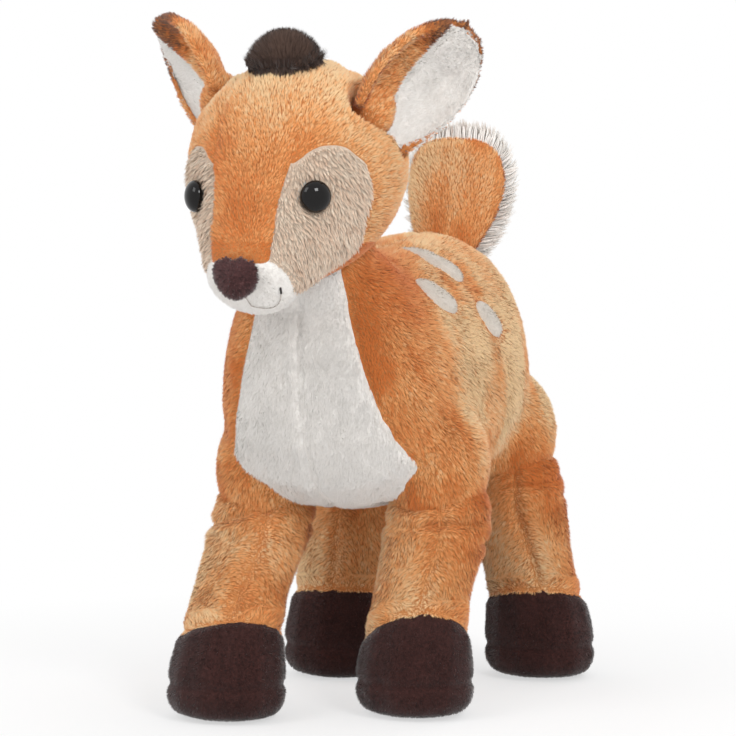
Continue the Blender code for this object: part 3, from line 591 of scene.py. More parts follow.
def stuffed(made, seam_gap, cap, frames=20):
    """Blows a skin up as its filling does, held along its seams, and caps how far it goes."""
    start = points_of(made.data)
    held = made.vertex_groups.new(name="seams")
    held.add(np.nonzero(seam_gap < SEAM_HOLD)[0].tolist(), 1.0, "REPLACE")
    cloth = made.modifiers.new("cloth", "CLOTH")
    cloth.settings.use_pressure = True
    cloth.settings.uniform_pressure_force = PRESSURE
    cloth.settings.effector_weights.gravity = 0.0
    cloth.settings.vertex_group_mass = "seams"
    cloth.settings.quality = 6
    cloth.collision_settings.use_collision = False
    cloth.point_cache.frame_start, cloth.point_cache.frame_end = 1, frames
    scene = bpy.context.scene
    for number in range(1, frames + 1):
        scene.frame_set(number)
    applied(made)
    scene.frame_set(1)
    mesh = made.data
    moved = points_of(mesh) - start
    far = np.linalg.norm(moved, axis=1, keepdims=True)
    moved *= np.minimum(1, cap / np.maximum(far, 1e-9))
    made.vertex_groups.clear()
    set_points(mesh, start + relaxed(moved, edges_of(mesh), len(start), 3))


class Skin:
    """A stuffed part's whole cloth: its points, faces, normals, and the panel each face belongs to.

    fills are the solids of its stuffing, and insets say how deep each panel lies under its own solid.
    cap is how far the filling swells it, none at 0. forms are joined to the solids, and gussets say
    which of their faces a panel owns. part parts a skin whose panels have no solids, shape draws the
    cloth in, and favour lets a panel reach past its solid's edge.
    """

    def __init__(
        self,
        name,
        panels,
        fills,
        voxel,
        insets,
        cap=1.4 * MM,
        turns=5,
        part=None,
        forms=(),
        gussets=None,
        shape=None,
        seam=1.0,
        favour=None,
    ):
        self.panels, self.favour = list(panels), favour
        nodes = [node for node in self.panels if node in frame["nodes"]] + list(fills)
        gussets = gussets or {}
        made = remeshed(name, nodes, voxel, forms)
        rounded(made.data, turns)
        trees = []
        for panel in self.panels if part is None else ():
            added = gussets.get(panel)
            trees.append((tree_of(panel), tree_of(extra=added) if added else None))
        if cap:
            gap, _ = self._gaps(points_of(made.data), trees, part)
            stuffed(made, gap, cap)
        divide = made.modifiers.new("divide", "SUBSURF")
        divide.levels = divide.render_levels = 1
        applied(made)
        mesh = made.data
        points, edges = points_of(mesh), edges_of(mesh)
        self.gap, self.label = self._gaps(points, trees, part)
        inset = relaxed(np.array(insets)[self.label], edges, len(points), 6)
        furrow = seam * bpy.context.scene.fawn_pile.seam_depth * bell(self.gap, SEAM_WIDTH)
        drawn = inset + furrow
        if shape is not None:
            drawn = drawn + shape(points, normals_of(mesh))
        points -= normals_of(mesh) * drawn[:, None]
        set_points(mesh, relaxed(points, edges, len(points), 1, 0.3))
        self.points, self.normals, self.edges = points_of(mesh), normals_of(mesh), edges
        self.away = self._uphill(relaxed(np.minimum(self.gap, 8 * MM), edges, len(points), 2))
        corners = np.zeros(len(mesh.loops), np.int32)
        mesh.loops.foreach_get("vertex_index", corners)
        self.faces = corners.reshape(-1, 4)
        votes = np.stack([(self.label[self.faces] == k).sum(1) for k in range(len(self.panels))], 1)
        self.face_label = votes.argmax(1)
        self._straighten()
        bpy.data.objects.remove(made)

    def _gaps(self, points, trees, part):
        """How far past its seam each point is, and its panel."""
        if part is not None:
            return part(points)
        columns = []
        for own, added in trees:
            near = distances(points, own)
            columns.append(near if added is None else np.minimum(near, distances(points, added) + LAP))
        apart = np.stack(columns, 1)
        if self.favour is not None:
            self.favour(points, apart)
        order = np.sort(apart, 1)
        gap = order[:, 1] - order[:, 0] if len(trees) > 1 else np.full(len(points), FAR)
        return gap, apart.argmin(1)

    def _uphill(self, values):
        """The way along the skin in which values at its points rise fastest."""
        a, b = self.edges.T
        step = self.points[b] - self.points[a]
        slope = step * ((values[b] - values[a]) / np.maximum((step**2).sum(1), 1e-12))[:, None]
        total = np.zeros_like(self.points)
        np.add.at(total, a, slope)
        np.add.at(total, b, slope)
        return unit(total)

    def _straighten(self):
        """Evens the line where two panels meet."""
        rim = {}
        for face, row in enumerate(self.faces):
            for a, b in zip(row, np.roll(row, -1)):
                rim.setdefault((min(a, b), max(a, b)), []).append(face)
        pairs = [key for key, owners in rim.items() if len({int(self.face_label[f]) for f in owners}) > 1]
        if not pairs:
            return
        pairs = np.array(pairs)
        degree = np.bincount(pairs.ravel(), minlength=len(self.points))
        for _ in range(6):
            total = np.zeros_like(self.points)
            np.add.at(total, pairs[:, 0], self.points[pairs[:, 1]])
            np.add.at(total, pairs[:, 1], self.points[pairs[:, 0]])
            lined = degree == 2
            self.points[lined] += (total[lined] / 2 - self.points[lined]) * 0.5

    def clear_of(self, *nodes):
        """How far each point is from pieces of other parts."""
        return distances(self.points, tree_of(*nodes))

    def panel(self, which):
        """A panel's own points, faces and the rows of its points in the whole skin."""
        faces = self.faces[self.face_label == which]
        rows, inverse = np.unique(faces, return_inverse=True)
        return rows, inverse.reshape(faces.shape)


def sewn(skin, which, name, body, finish, stands_for):
    """A panel of a skin as a piece."""
    rows, faces = skin.panel(which)
    made = shown(name, mesh_from(name, skin.points[rows], faces))
    made.data.shade_smooth()
    made.data.materials.append(finish)
    if stands_for:
        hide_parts(*stands_for)
    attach(made, body)


def fibre_mesh(name, root, middle, tip, edge, shade, soft, bent):
    """Fibres as narrow blades, of one triangle each or of three where they are bent.

    Their map holds the dye's tone and the way from root to tip.
    """
    if bent:
        corners = [root - edge, root + edge, middle - edge * 0.85, middle + edge * 0.85, tip]
        spans = np.array([[0, 3, 1], [0, 2, 3], [2, 4, 3]])
        along = np.array([0.03, 0.03, 0.52, 0.52, 0.97])
        sway = np.array([-1, 1, -0.85, 0.85, 0]) * 0.02
    else:
        corners = [root - edge, root + edge, tip]
        spans = np.array([[0, 2, 1]])
        along = np.array([0.03, 0.03, 0.97])
        sway = np.array([-1, 1, 0]) * 0.02
    count, per = len(root), len(corners)
    every = (np.arange(count)[:, None, None] * per + spans[None]).reshape(-1, 3)
    mesh = bpy.data.meshes.new(name)
    mesh.vertices.add(count * per)
    mesh.vertices.foreach_set("co", np.stack(corners, 1).astype(np.float32).ravel())
    mesh.loops.add(every.size)
    mesh.loops.foreach_set("vertex_index", every.astype(np.int32).ravel())
    mesh.polygons.add(len(every))
    mesh.polygons.foreach_set("loop_start", np.arange(0, every.size, 3, dtype=np.int32))
    mesh.update(calc_edges=True)
    layer = mesh.uv_layers.new(name="OFBake")
    across = np.clip(shade[:, None] + sway[None], 0.0, 1.0)
    flat = np.stack([across, np.broadcast_to(along, (count, per))], 2)
    layer.uv.foreach_set("vector", flat.reshape(-1, 2)[every.ravel()].astype(np.float32).ravel())
    mesh.shade_smooth()
    mesh.normals_split_custom_set_from_vertices(np.repeat(soft, per, axis=0).tolist())
    return mesh


def combed(
    skin,
    which,
    name,
    body,
    slot,
    finish,
    length,
    comb,
    tone,
    seed,
    width=0.32 * MM,
    per_mm2=7.5,
    lean=56,
    ruffle=18,
    clump=0.42,
    parting=1.3,
    reach=2.6 * MM,
    speckle=1.0,
    soft=0.8,
    clear=None,
    trim=None,
    where=None,
    bent=False,
):
    """A panel's pile: locks of fibre that lean the way they are combed, gathered in clumps.

    lean is the angle off the cloth's normal and ruffle how far the combing strays, in degrees.
    Along a seam the pile parts by parting, over reach. clear, trim and where thin or shorten it.
    """
    random = np.random.default_rng(seed)
    rows, faces = skin.panel(which)
    points, normals, gap = skin.points[rows], skin.normals[rows], skin.gap[rows]
    bare = np.ones(len(rows)) if clear is None else smooth_step(clear[rows], 0.1 * MM, 1.3 * MM)

    # Roots spread evenly over the panel
    triangles = np.concatenate([faces[:, [0, 1, 2]], faces[:, [0, 2, 3]]])
    a, b, c = (points[triangles[:, i]] for i in range(3))
    area = np.linalg.norm(np.cross(b - a, c - a), axis=1) / 2
    per_mm2 *= bpy.context.scene.fawn_pile.density
    count = max(30, int(area.sum() * 1e6 * per_mm2))
    chosen = random.choice(len(triangles), count, p=area / area.sum())
    u, v = random.random(count), random.random(count)
    flip = u + v > 1
    u[flip], v[flip] = 1 - u[flip], 1 - v[flip]
    mix = np.stack([1 - u - v, u, v], 1)[:, :, None]
    corner = triangles[chosen]
    root = (points[corner] * mix).sum(1)
    normal = unit((normals[corner] * mix).sum(1))
    edge = (gap[corner] * mix[:, :, 0]).sum(1)
    free = (bare[corner] * mix[:, :, 0]).sum(1)
    keep = free > 0.25
    if where is not None:
        keep &= where(root, normal)
    root, normal, edge, free = root[keep], normal[keep], edge[keep], free[keep]
    count = len(root)
    if count == 0:
        return

    # Lengths, shorter at a seam
    near_seam = 0.62 + 0.38 * smooth_step(edge, 0, 3 * MM)
    long = length * (0.82 + 0.36 * random.random(count)) * near_seam * free
    if trim is not None:
        long = long * (trim[rows][corner] * mix[:, :, 0]).sum(1)[keep]

    # Directions: as combed, parted at the seams and ruffled
    way = comb(root, normal)
    away = (skin.away[rows][corner] * mix).sum(1)[keep]
    parted = parting * bell(edge, reach)
    way = unit(way) + away * (parted * smooth_step(edge, 0, 1.6 * MM))[:, None]
    way = unit(way - normal * (way * normal).sum(1, keepdims=True))
    side = np.cross(normal, way)
    stray = 1.3 * drift(root, 9 * MM, seed + 1) + 0.7 * drift(root, 3 * MM, seed + 2)
    turn = np.radians(ruffle) * (stray + 0.35 * random.normal(size=count))
    way = way * np.cos(turn)[:, None] + side * np.sin(turn)[:, None]
    tilt = lean + 9 * drift(root, 5 * MM, seed + 3) + 6 * random.normal(size=count)
    tilt = np.radians(np.clip(tilt, 5, 84))
    aim = normal * np.cos(tilt)[:, None] + way * np.sin(tilt)[:, None]
    tip = root + aim * long[:, None]

    # Clumps: about seven tips draw together
    centres = random.choice(count, max(3, count // 7), replace=False)
    tree = KDTree(len(centres))
    for place, index in enumerate(centres.tolist()):
        tree.insert(root[index], place)
    tree.balance()
    mine = centres[[tree.find(point)[1] for point in root]]
    gather = clump * (0.7 + 0.6 * random.random(count))[:, None]
    tip = tip + (tip[mine] - tip) * np.clip(gather, 0, 0.9)
    own, shared = 0.08 * random.normal(size=count), 0.11 * random.normal(size=count)[mine]
    shade = np.clip(tone(root, normal) + speckle * (own + shared), 0.03, 0.97)

    # Blades, each twisted a little about its own axis
    axis = unit(tip - root)
    across = unit(np.cross(axis, normal) + 1e-9)
    twist = np.radians(35) * random.normal(size=count)
    lift = np.cross(across, axis)
    across = across * np.cos(twist)[:, None] + lift * np.sin(twist)[:, None]
    facing = np.cross(axis, across)
    facing *= np.sign((facing * normal).sum(1, keepdims=True) + 1e-12)
    across = np.cross(facing, axis)
    half = (width * (0.75 + 0.5 * random.random(count)) / 2)[:, None]
    root = root - normal * 0.3 * MM
    middle = (root + tip) / 2 + normal * (long * 0.13)[:, None]
    lit = unit(normal * soft + facing * (1 - soft) + axis * 0.12)
    mesh = fibre_mesh(name, root, middle, tip, across * half, shade, lit, bent)
    mesh.materials.append(finish)
    made = shown(name, mesh)
    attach(made, body)


def covered(skin, which, panel, body, kind, stands_for, length, comb, tone, seed, fill=TIGHT, **how):
    """A panel of a skin as a piece of that kind of plush, with its pile."""
    sewn(skin, which, panel + "_cloth", body, Fibres.get(kind, "cloth"), stands_for)
    finish = Fibres.get(kind, "pile")
    combed(skin, which, panel + "_pile", body, SLOTS[kind], finish, length, comb, tone, seed, **how)


# How the pile lies and how the dye falls


def down_back(points, normals):
    """Combed down the flank and back."""
    return np.array((0.0, 0.45, -1.0)) + 0 * points


def down(points, normals):
    """Combed straight down."""
    return -UP + 0 * points


def from_nose(points, normals):
    """Combed from the nose over the head."""
    nose = np.array((0.0, -0.108, 0.178))
    return (points - nose) * np.array((1.0, 1.0, 0.75)) + np.array((0.0, 0.01, 0.0))


def down_cheek(points, normals):
    """Combed down the cheek and outwards from the nose."""
    return np.stack([0.15 * np.sign(points[:, 0]), 0.25 + 0 * points[:, 1], -1.0 + 0 * points[:, 2]], 1)


def orange_tone(points, normals):
    """The printed plush: slow blotches, paler over the crown and the middle of the flank."""
    streaks = points * np.array((1.0, 1.0, 0.55))
    tone = 0.44 + 0.24 * drift(streaks, 13 * MM, 3) + 0.14 * drift(streaks, 6 * MM, 5)
    x, y, z = points.T
    on_head = (z > 0.19) & (y < -0.015)
    crown = 0.34 * smooth_step(z, 0.222, 0.252)
    bridge = 0.16 * smooth_step(-y, 0.082, 0.104)
    temples = 0.22 * smooth_step(np.abs(x), 0.030, 0.042)
    # The back of the head is made paler: painted light where little lamp light reaches
    nape_painted_light = 0.12 * smooth_step(y, -0.05, -0.03)
    tone += np.where(on_head, crown - bridge + temples + nape_painted_light, 0)
    on_body = (z > 0.085) & ~on_head
    flank = 0.66 * smooth_step(y, -0.034, 0.004) * smooth_step(z, 0.09, 0.125)
    small_blots = 0.6 * smooth_step(drift(streaks, 8 * MM, 12), 0.2, 0.6)
    blots = 0.40 * (smooth_step(drift(streaks, 17 * MM, 9), 0.05, 0.55) + small_blots)
    back = 0.36 * smooth_step(z, 0.152, 0.174)
    chest = 0.12 * smooth_step(-y, 0.0, 0.03)
    belly = 0.10 * (1 - smooth_step(z, 0.095, 0.120))
    tone += np.where(on_body, flank - blots - back - chest + belly, 0)
    return tone


def leg_tone_and_shade(points, normals):
    """The legs' plush, with painted shade towards the picture's right and at the legs' tops."""
    # Faces turned towards the picture's right, and the tops under the body, get painted shade
    painted_shade_facing = normals[:, 0] * 0.906 + normals[:, 1] * 0.423
    painted_top_shade = 0.26 * smooth_step(points[:, 2], 0.060, 0.086)
    # The 0.16 makes the whole leg paler: painted light against the shade round it
    return orange_tone(points, normals) + 0.16 - 0.26 * painted_shade_facing - painted_top_shade


def even_tone(points, normals):
    """A plain dye."""
    return 0.5 + 0.16 * drift(points, 8 * MM, 11)


def white_tone(points, normals):
    """White plush, its tone wavering slowly."""
    return 0.62 + 0.14 * drift(points, 9 * MM, 13)


def gathered(points, centre, folds):
    """How far folds draw a leg's cloth in: each is a furrow with a swelling over and under it."""
    angle = np.arctan2(points[:, 1] - centre[1], points[:, 0] - centre[0])
    total = np.zeros(len(points))
    for place, height, depth, reach, slope in folds:
        apart = (angle - math.radians(place) + math.pi) % (2 * math.pi) - math.pi
        rise = points[:, 2] - height - slope * apart
        furrow = bell(rise, 1.7 * MM)
        under, over = 0.45 * bell(rise + 4 * MM, 2.6 * MM), 0.35 * bell(rise - 4 * MM, 2.6 * MM)
        total += depth * bell(apart, math.radians(reach)) * (furrow - under - over)
    return total


# The pieces


class Fibres:
    """The finishes, each made once."""

    made = {}
    # How dark each pile's fibres are at the root: partly printed, partly painted shade deep in the pile
    root_shades = {"white": 0.9, "taupe": 0.5, "spot": 0.9, "tuft": 0.6, "hoof": 0.7, "nose": 0.6}
    sheens = {"hoof": 0.7, "nose": 0.7}

    @staticmethod
    def tones(kind):
        """The dyes of a kind of pile, from the deepest to the palest."""
        dyes = bpy.context.scene.fawn_colours
        orange = [tuple(dyes.orange_deep), tuple(dyes.orange_middle), tuple(dyes.orange_pale)]
        return {
            "orange": orange,
            "ear_back": [tuple(dyes.ear_tip), *orange],
            "white": [tuple(dyes.white_shade), tuple(dyes.white_bright)],
            "taupe": [tuple(dyes.taupe_deep), tuple(dyes.taupe_pale)],
            "hoof": [shaded(0.35, dyes.hoof), shaded(1.6, dyes.hoof)],
            "nose": [shaded(0.35, dyes.nose), shaded(1.6, dyes.nose)],
            "tuft": [shaded(0.4, dyes.tuft), shaded(1.5, dyes.tuft)],
            "spot": [shaded(0.85, dyes.spot), tuple(dyes.spot)],
        }[kind]

    @classmethod
    def get(cls, kind, what):
        """The finish of a kind's pile or of its cloth."""
        if (kind, what) not in cls.made:
            tones = cls.tones(kind)
            if what == "pile":
                root_shade, sheen = cls.root_shades.get(kind, 0.63), cls.sheens.get(kind, 0.25)
                made = pile_finish(kind + "_pile", tones, root_shade, sheen)
            else:
                # The cloth under the pile is darkened, most under orange and taupe pile: painted shade
                # between the fibres
                ends = cls.tones("orange")[:2] if SLOTS[kind] == "orange_plush" else (tones[0], tones[-1])
                shade = 0.62 if SLOTS[kind] in ("orange_plush", "taupe_plush") else 0.95
                made = cloth_finish(kind + "_cloth", *(shaded(shade, end) for end in ends))
            cls.made[kind, what] = made
        return cls.made[kind, what]


class FAWN_OT_body(bpy.types.Operator):
    """Sew, stuff and comb the body with its bib, gusset and spots"""

    bl_idname = "fawn.body"
    bl_label = "Body"

    def execute(self, context):
        pile = context.scene.fawn_pile
        kinds = {
            "flank_left": "orange",
            "flank_right": "orange",
            "bib_left": "white",
            "bib_right": "white",
            "belly_gusset": "white",
            **dict.fromkeys(SPOTS, "spot"),
        }
        depths = {"orange": 1.7 * MM, "white": 1.4 * MM, "spot": 0.4 * MM}
        forms, gussets = self.haunches_and_collar()
        skin = Skin(
            "body_skin",
            kinds,
            ["torso_fill"],
            2.6 * MM,
            [depths[kind] for kind in kinds.values()],
            turns=12,
            forms=forms,
            gussets=gussets,
            shape=self.uneven,
            favour=self.wide_spots,
        )
        clear = skin.clear_of("tail_front", "tail_back")
        trim = 0.5 + 0.5 * smooth_step(skin.clear_of(*SPOTS), 0.5 * MM, 5 * MM)
        how = {
            "orange": dict(
                length=pile.plush_length,
                comb=down_back,
                tone=orange_tone,
                clear=clear,
                trim=trim,
            ),
            "white": dict(
                length=pile.bib_length,
                comb=down,
                tone=white_tone,
                width=0.3 * MM,
                ruffle=16,
                clump=0.35,
                parting=0.4,
                speckle=0.6,
                clear=clear,
            ),
            "spot": dict(
                length=1.2 * MM,
                comb=down_back,
                tone=even_tone,
                width=0.35 * MM,
                per_mm2=4,
                clump=0.2,
            ),
        }
        for which, (panel, kind) in enumerate(kinds.items()):
            stands_for = [panel, "torso_fill"] if which == 0 else [panel]
            covered(skin, which, panel, "torso", kind, stands_for, seed=20 + which, **how[kind])
        return {"FINISHED"}

    @staticmethod
    def uneven(points, normals):
        """The filling's lumps."""
        return 0.5 * MM * drift(points, 30 * MM, 31) + 0.3 * MM * drift(points, 12 * MM, 32)

    @staticmethod
    def wide_spots(points, apart):
        """The spots reach out under the pile round them."""
        apart[:, -len(SPOTS) :] -= 1.6 * MM

    @staticmethod
    def haunches_and_collar():
        """Rounds of cloth over the legs' tops and the neck's stuffing, and the panels they belong to."""
        gussets = {panel: [] for panel in ("flank_left", "flank_right", "bib_left", "bib_right")}
        forms = []
        for leg in LEGS:
            hip = joint_place(f"leg_{leg}_swing")
            shift = np.array((HAUNCH_ASIDE[leg], 0.0, HEMS[leg] + HAUNCH_RISE - hip[2]))
            form = round_form(hip + shift, HAUNCH_REACH)
            forms.append(form)
            gussets["flank_left" if hip[0] > 0 else "flank_right"].append(form)
        low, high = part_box("neck_fill")
        neck = np.array(((low.x + high.x) / 2, (low.y + high.y) / 2, (low.z + high.z) / 2))
        points, faces = round_form(neck, (COLLAR_REACH,) * 3, 96, 48)
        forms.append((points, faces))
        middle = points[faces].mean(1) - neck
        front = (middle[:, 1] < 0) & (np.abs(middle[:, 0]) < COLLAR_FRONT)
        for side, here in (("left", middle[:, 0] > 0), ("right", middle[:, 0] <= 0)):
            gussets["bib_" + side].append((points, faces[front & here]))
            gussets["flank_" + side].append((points, faces[~front & here]))
        return forms, gussets


class FAWN_OT_neck(bpy.types.Operator):
    """Cover the stuffing that the head turns on"""

    bl_idname = "fawn.neck"
    bl_label = "Neck"

    def execute(self, context):
        low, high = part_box("neck_fill")
        middle = (low.y + high.y) / 2

        def halves(points):
            """White before, orange at the sides and behind."""
            place = np.maximum(points[:, 1] - middle, np.abs(points[:, 0]) - NECK_FRONT)
            return np.abs(place), (place > 0).astype(int)

        kinds = {"neck_front": "white", "neck_back": "orange"}
        skin = Skin("neck_skin", kinds, ["neck_fill"], 2.0 * MM, [0.6 * MM] * 2, cap=0, part=halves, seam=0.3)
        for which, (name, kind) in enumerate(kinds.items()):
            stands_for = ["neck_fill"] if which == 0 else []
            sewn(skin, which, name + "_cloth", "neck", Fibres.get(kind, "cloth"), stands_for)
        return {"FINISHED"}


class FAWN_OT_head(bpy.types.Operator):
    """Sew, stuff and comb the head, and stitch its mouth"""

    bl_idname = "fawn.head"
    bl_label = "Head"

    def execute(self, context):
        pile = context.scene.fawn_pile
        kinds = {
            "forehead_gusset": "orange",
            "head_side_left": "orange",
            "head_side_right": "orange",
            "eye_patch_left": "taupe",
            "eye_patch_right": "taupe",
            "muzzle": "white",
        }
        depths = {"orange": 1.7 * MM, "taupe": 1.5 * MM, "white": 0.9 * MM}
        eyes = [node_mesh("eye_" + side)[0].mean(0) for side in SIDES]

        def dimples(points, normals):
            """The eyes' shanks draw the cloth in."""
            near = np.minimum(*[np.linalg.norm(points - eye, axis=1) for eye in eyes])
            return 1.3 * MM * bell(near, 8 * MM) + 0.3 * MM * drift(points, 14 * MM, 33)

        skin = Skin(
            "head_skin",
            kinds,
            ["head_fill"],
            2.2 * MM,
            [depths[kind] for kind in kinds.values()],
            shape=dimples,
            seam=0.5,
            favour=self.face_seams,
        )
        ears = [f"ear_{what}_{side}" for what in ("back", "lining") for side in SIDES]
        clear = skin.clear_of(*ears, "eye_left", "eye_right", "nose")
        trim = 0.45 + 0.55 * smooth_step(skin.clear_of("muzzle", "nose"), 0.5 * MM, 8 * MM)
        how = {
            "orange": dict(
                length=0.8 * pile.plush_length,
                comb=from_nose,
                tone=orange_tone,
                lean=50,
                clump=0.5,
                parting=0.0,
                trim=trim,
            ),
            "taupe": dict(
                length=pile.patch_length,
                comb=down_cheek,
                tone=even_tone,
                width=0.36 * MM,
                per_mm2=5.5,
                lean=58,
                ruffle=12,
                clump=0.8,
                parting=0.3,
                speckle=1.6,
                trim=trim,
            ),
            "white": dict(
                length=1.3 * MM,
                comb=from_nose,
                tone=white_tone,
                width=0.34 * MM,
                per_mm2=5,
                clump=0.2,
                parting=0.0,
            ),
        }
        for which, (panel, kind) in enumerate(kinds.items()):
            stands_for = [panel, "head_fill"] if which == 0 else [panel]
            covered(skin, which, panel, "head", kind, stands_for, seed=40 + which, clear=clear, **how[kind])
        self.mouth(skin)
        return {"FINISHED"}

    @staticmethod
    def face_seams(points, apart):
        """Brings the forehead down to the nose, and the eye patches down to the jaw."""
        forehead, side_left, side_right, muzzle = 0, 1, 2, 5
        x, y, z = points.T
        bridge = 10 * MM * smooth_step(z, 0.1825, 0.1845) * (1 - smooth_step(np.abs(x), 0.0115, 0.0135))
        apart[:, muzzle] += bridge
        apart[:, forehead] -= bridge
        jaw = 12 * MM * smooth_step(-y, 0.055, 0.067) * (1 - smooth_step(z, 0.184, 0.200))
        apart[:, side_left] += jaw
        apart[:, side_right] += jaw

    def mouth(self, skin):
        """A fine stitched line down from the nose and up to the smile's end, where it is tied off."""
        tree = BVHTree.FromPolygons(skin.points.tolist(), skin.faces.tolist())
        route = []
        for place in MOUTH:
            near, normal, _, _ = tree.find_nearest(Vector(place) * MM)
            route.append(near + normal * 0.55 * MM)
        pale = plain_finish("mouth_thread", (176, 166, 158), (200, 190, 183), 0.6 * MM, Roughness=0.8)
        dark = plain_finish("mouth_knot", (30, 22, 22), (48, 38, 36), 0.6 * MM, Roughness=0.7)
        made = self.thread("mouth_line", "NURBS", (route[:2], route[1:]), 0.17 * MM, pale)
        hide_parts("mouth_stitches")
        tie = [route[-2].lerp(route[-1], share) for share in (0.45, 1.05)]
        self.thread("mouth_tie", "POLY", (tie,), 0.4 * MM, dark)

    @staticmethod
    def thread(name, kind, runs, radius, finish):
        """Thread along runs of points."""
        line = bpy.data.curves.new(name, "CURVE")
        line.dimensions, line.bevel_depth, line.bevel_resolution, line.use_fill_caps = "3D", radius, 2, True
        for run in runs:
            spline = line.splines.new(kind)
            spline.points.add(len(run) - 1)
            for point, place in zip(spline.points, run):
                point.co = (*place, 1.0)
            if kind == "NURBS":
                spline.use_endpoint_u, spline.order_u = True, 3
        line.materials.append(finish)
        made = shown(name, line)
        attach(made, "head")
        return made


class FAWN_OT_face(bpy.types.Operator):
    """Set the eyes and the nose"""

    bl_idname = "fawn.face"
    bl_label = "Face"

    def execute(self, context):
        gloss = plain_finish(
            "black_gloss", (7, 5, 5), (13, 10, 9), 1.5 * MM, Roughness=0.05, Specular_IOR_Level=0.28
        )
        pale = plain_finish("washer_plastic", (190, 190, 185), (215, 215, 210), 4 * MM, Roughness=0.5)
        for side in SIDES:
            points, _ = node_mesh("eye_" + side)
            centre, back = points.mean(0), node_mesh("eye_washer_" + side)[0].mean(0)
            axis = unit((centre - back)[None])[0]
            reach = (points - centre) @ axis
            radius = np.linalg.norm(points - centre - reach[:, None] * axis, axis=1)
            rim = reach[radius > radius.max() - 1e-4].mean()
            width, rise = EYE_WIDER * radius.max(), EYE_HIGHER * (reach.max() - rim)
            self.dome(side, centre + axis * rim, axis, width, rise, gloss)
            washer = frame["nodes"]["eye_washer_" + side]
            washer.data.materials.clear()
            washer.data.materials.append(pale)
        self.nose(context.scene.fawn_pile)
        return {"FINISHED"}

    @staticmethod
    def dome(side, base, axis, radius, rise, finish):
        """A moulded eye, a flattened dome with a rolled rim."""
        rings, around = 20, 64
        first = unit(np.cross(axis, UP)[None])[0]
        second = np.cross(axis, first)
        profile = [(radius * 0.86, -1.2 * MM), (radius * 0.985, -0.75 * MM), (radius, -0.1 * MM)]
        for turn in np.linspace(0.08, math.pi / 2, rings)[:-1]:
            profile.append((radius * math.cos(turn), rise * math.sin(turn)))
        points, faces = [], []
        for ring, (out, up) in enumerate(profile):
            for step, turn in enumerate(np.linspace(0, 2 * math.pi, around, endpoint=False)):
                points.append(base + axis * up + (first * math.cos(turn) + second * math.sin(turn)) * out)
                here, after = ring * around + step, ring * around + (step + 1) % around
                if ring < len(profile) - 1:
                    faces.append((here, after, after + around, here + around))
                else:
                    faces.append((here, after, len(profile) * around))
        points.append(base + axis * rise)
        made = shown(f"eye_{side}_dome", mesh_from("dome", np.array(points), faces))
        made.data.shade_smooth()
        made.data.materials.append(finish)
        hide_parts("eye_" + side)
        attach(made, "head")

    @staticmethod
    def nose(pile):
        """The nose's pad, narrower downwards."""
        skin = Skin("nose_skin", ["nose"], [], 0.9 * MM, [-0.4 * MM], cap=0, turns=4)
        low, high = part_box("nose")
        drop = np.clip((high.z - skin.points[:, 2]) / (high.z - low.z), 0, 1)
        skin.points[:, 0] *= 0.98 - 0.24 * drop**1.6
        how = dict(per_mm2=9, lean=40, clump=0.5, speckle=2.2, soft=0.6)
        length = pile.velour_length
        covered(skin, 0, "nose", "head", "nose", ["nose"], length, from_nose, even_tone, 61, 0.9, **how)


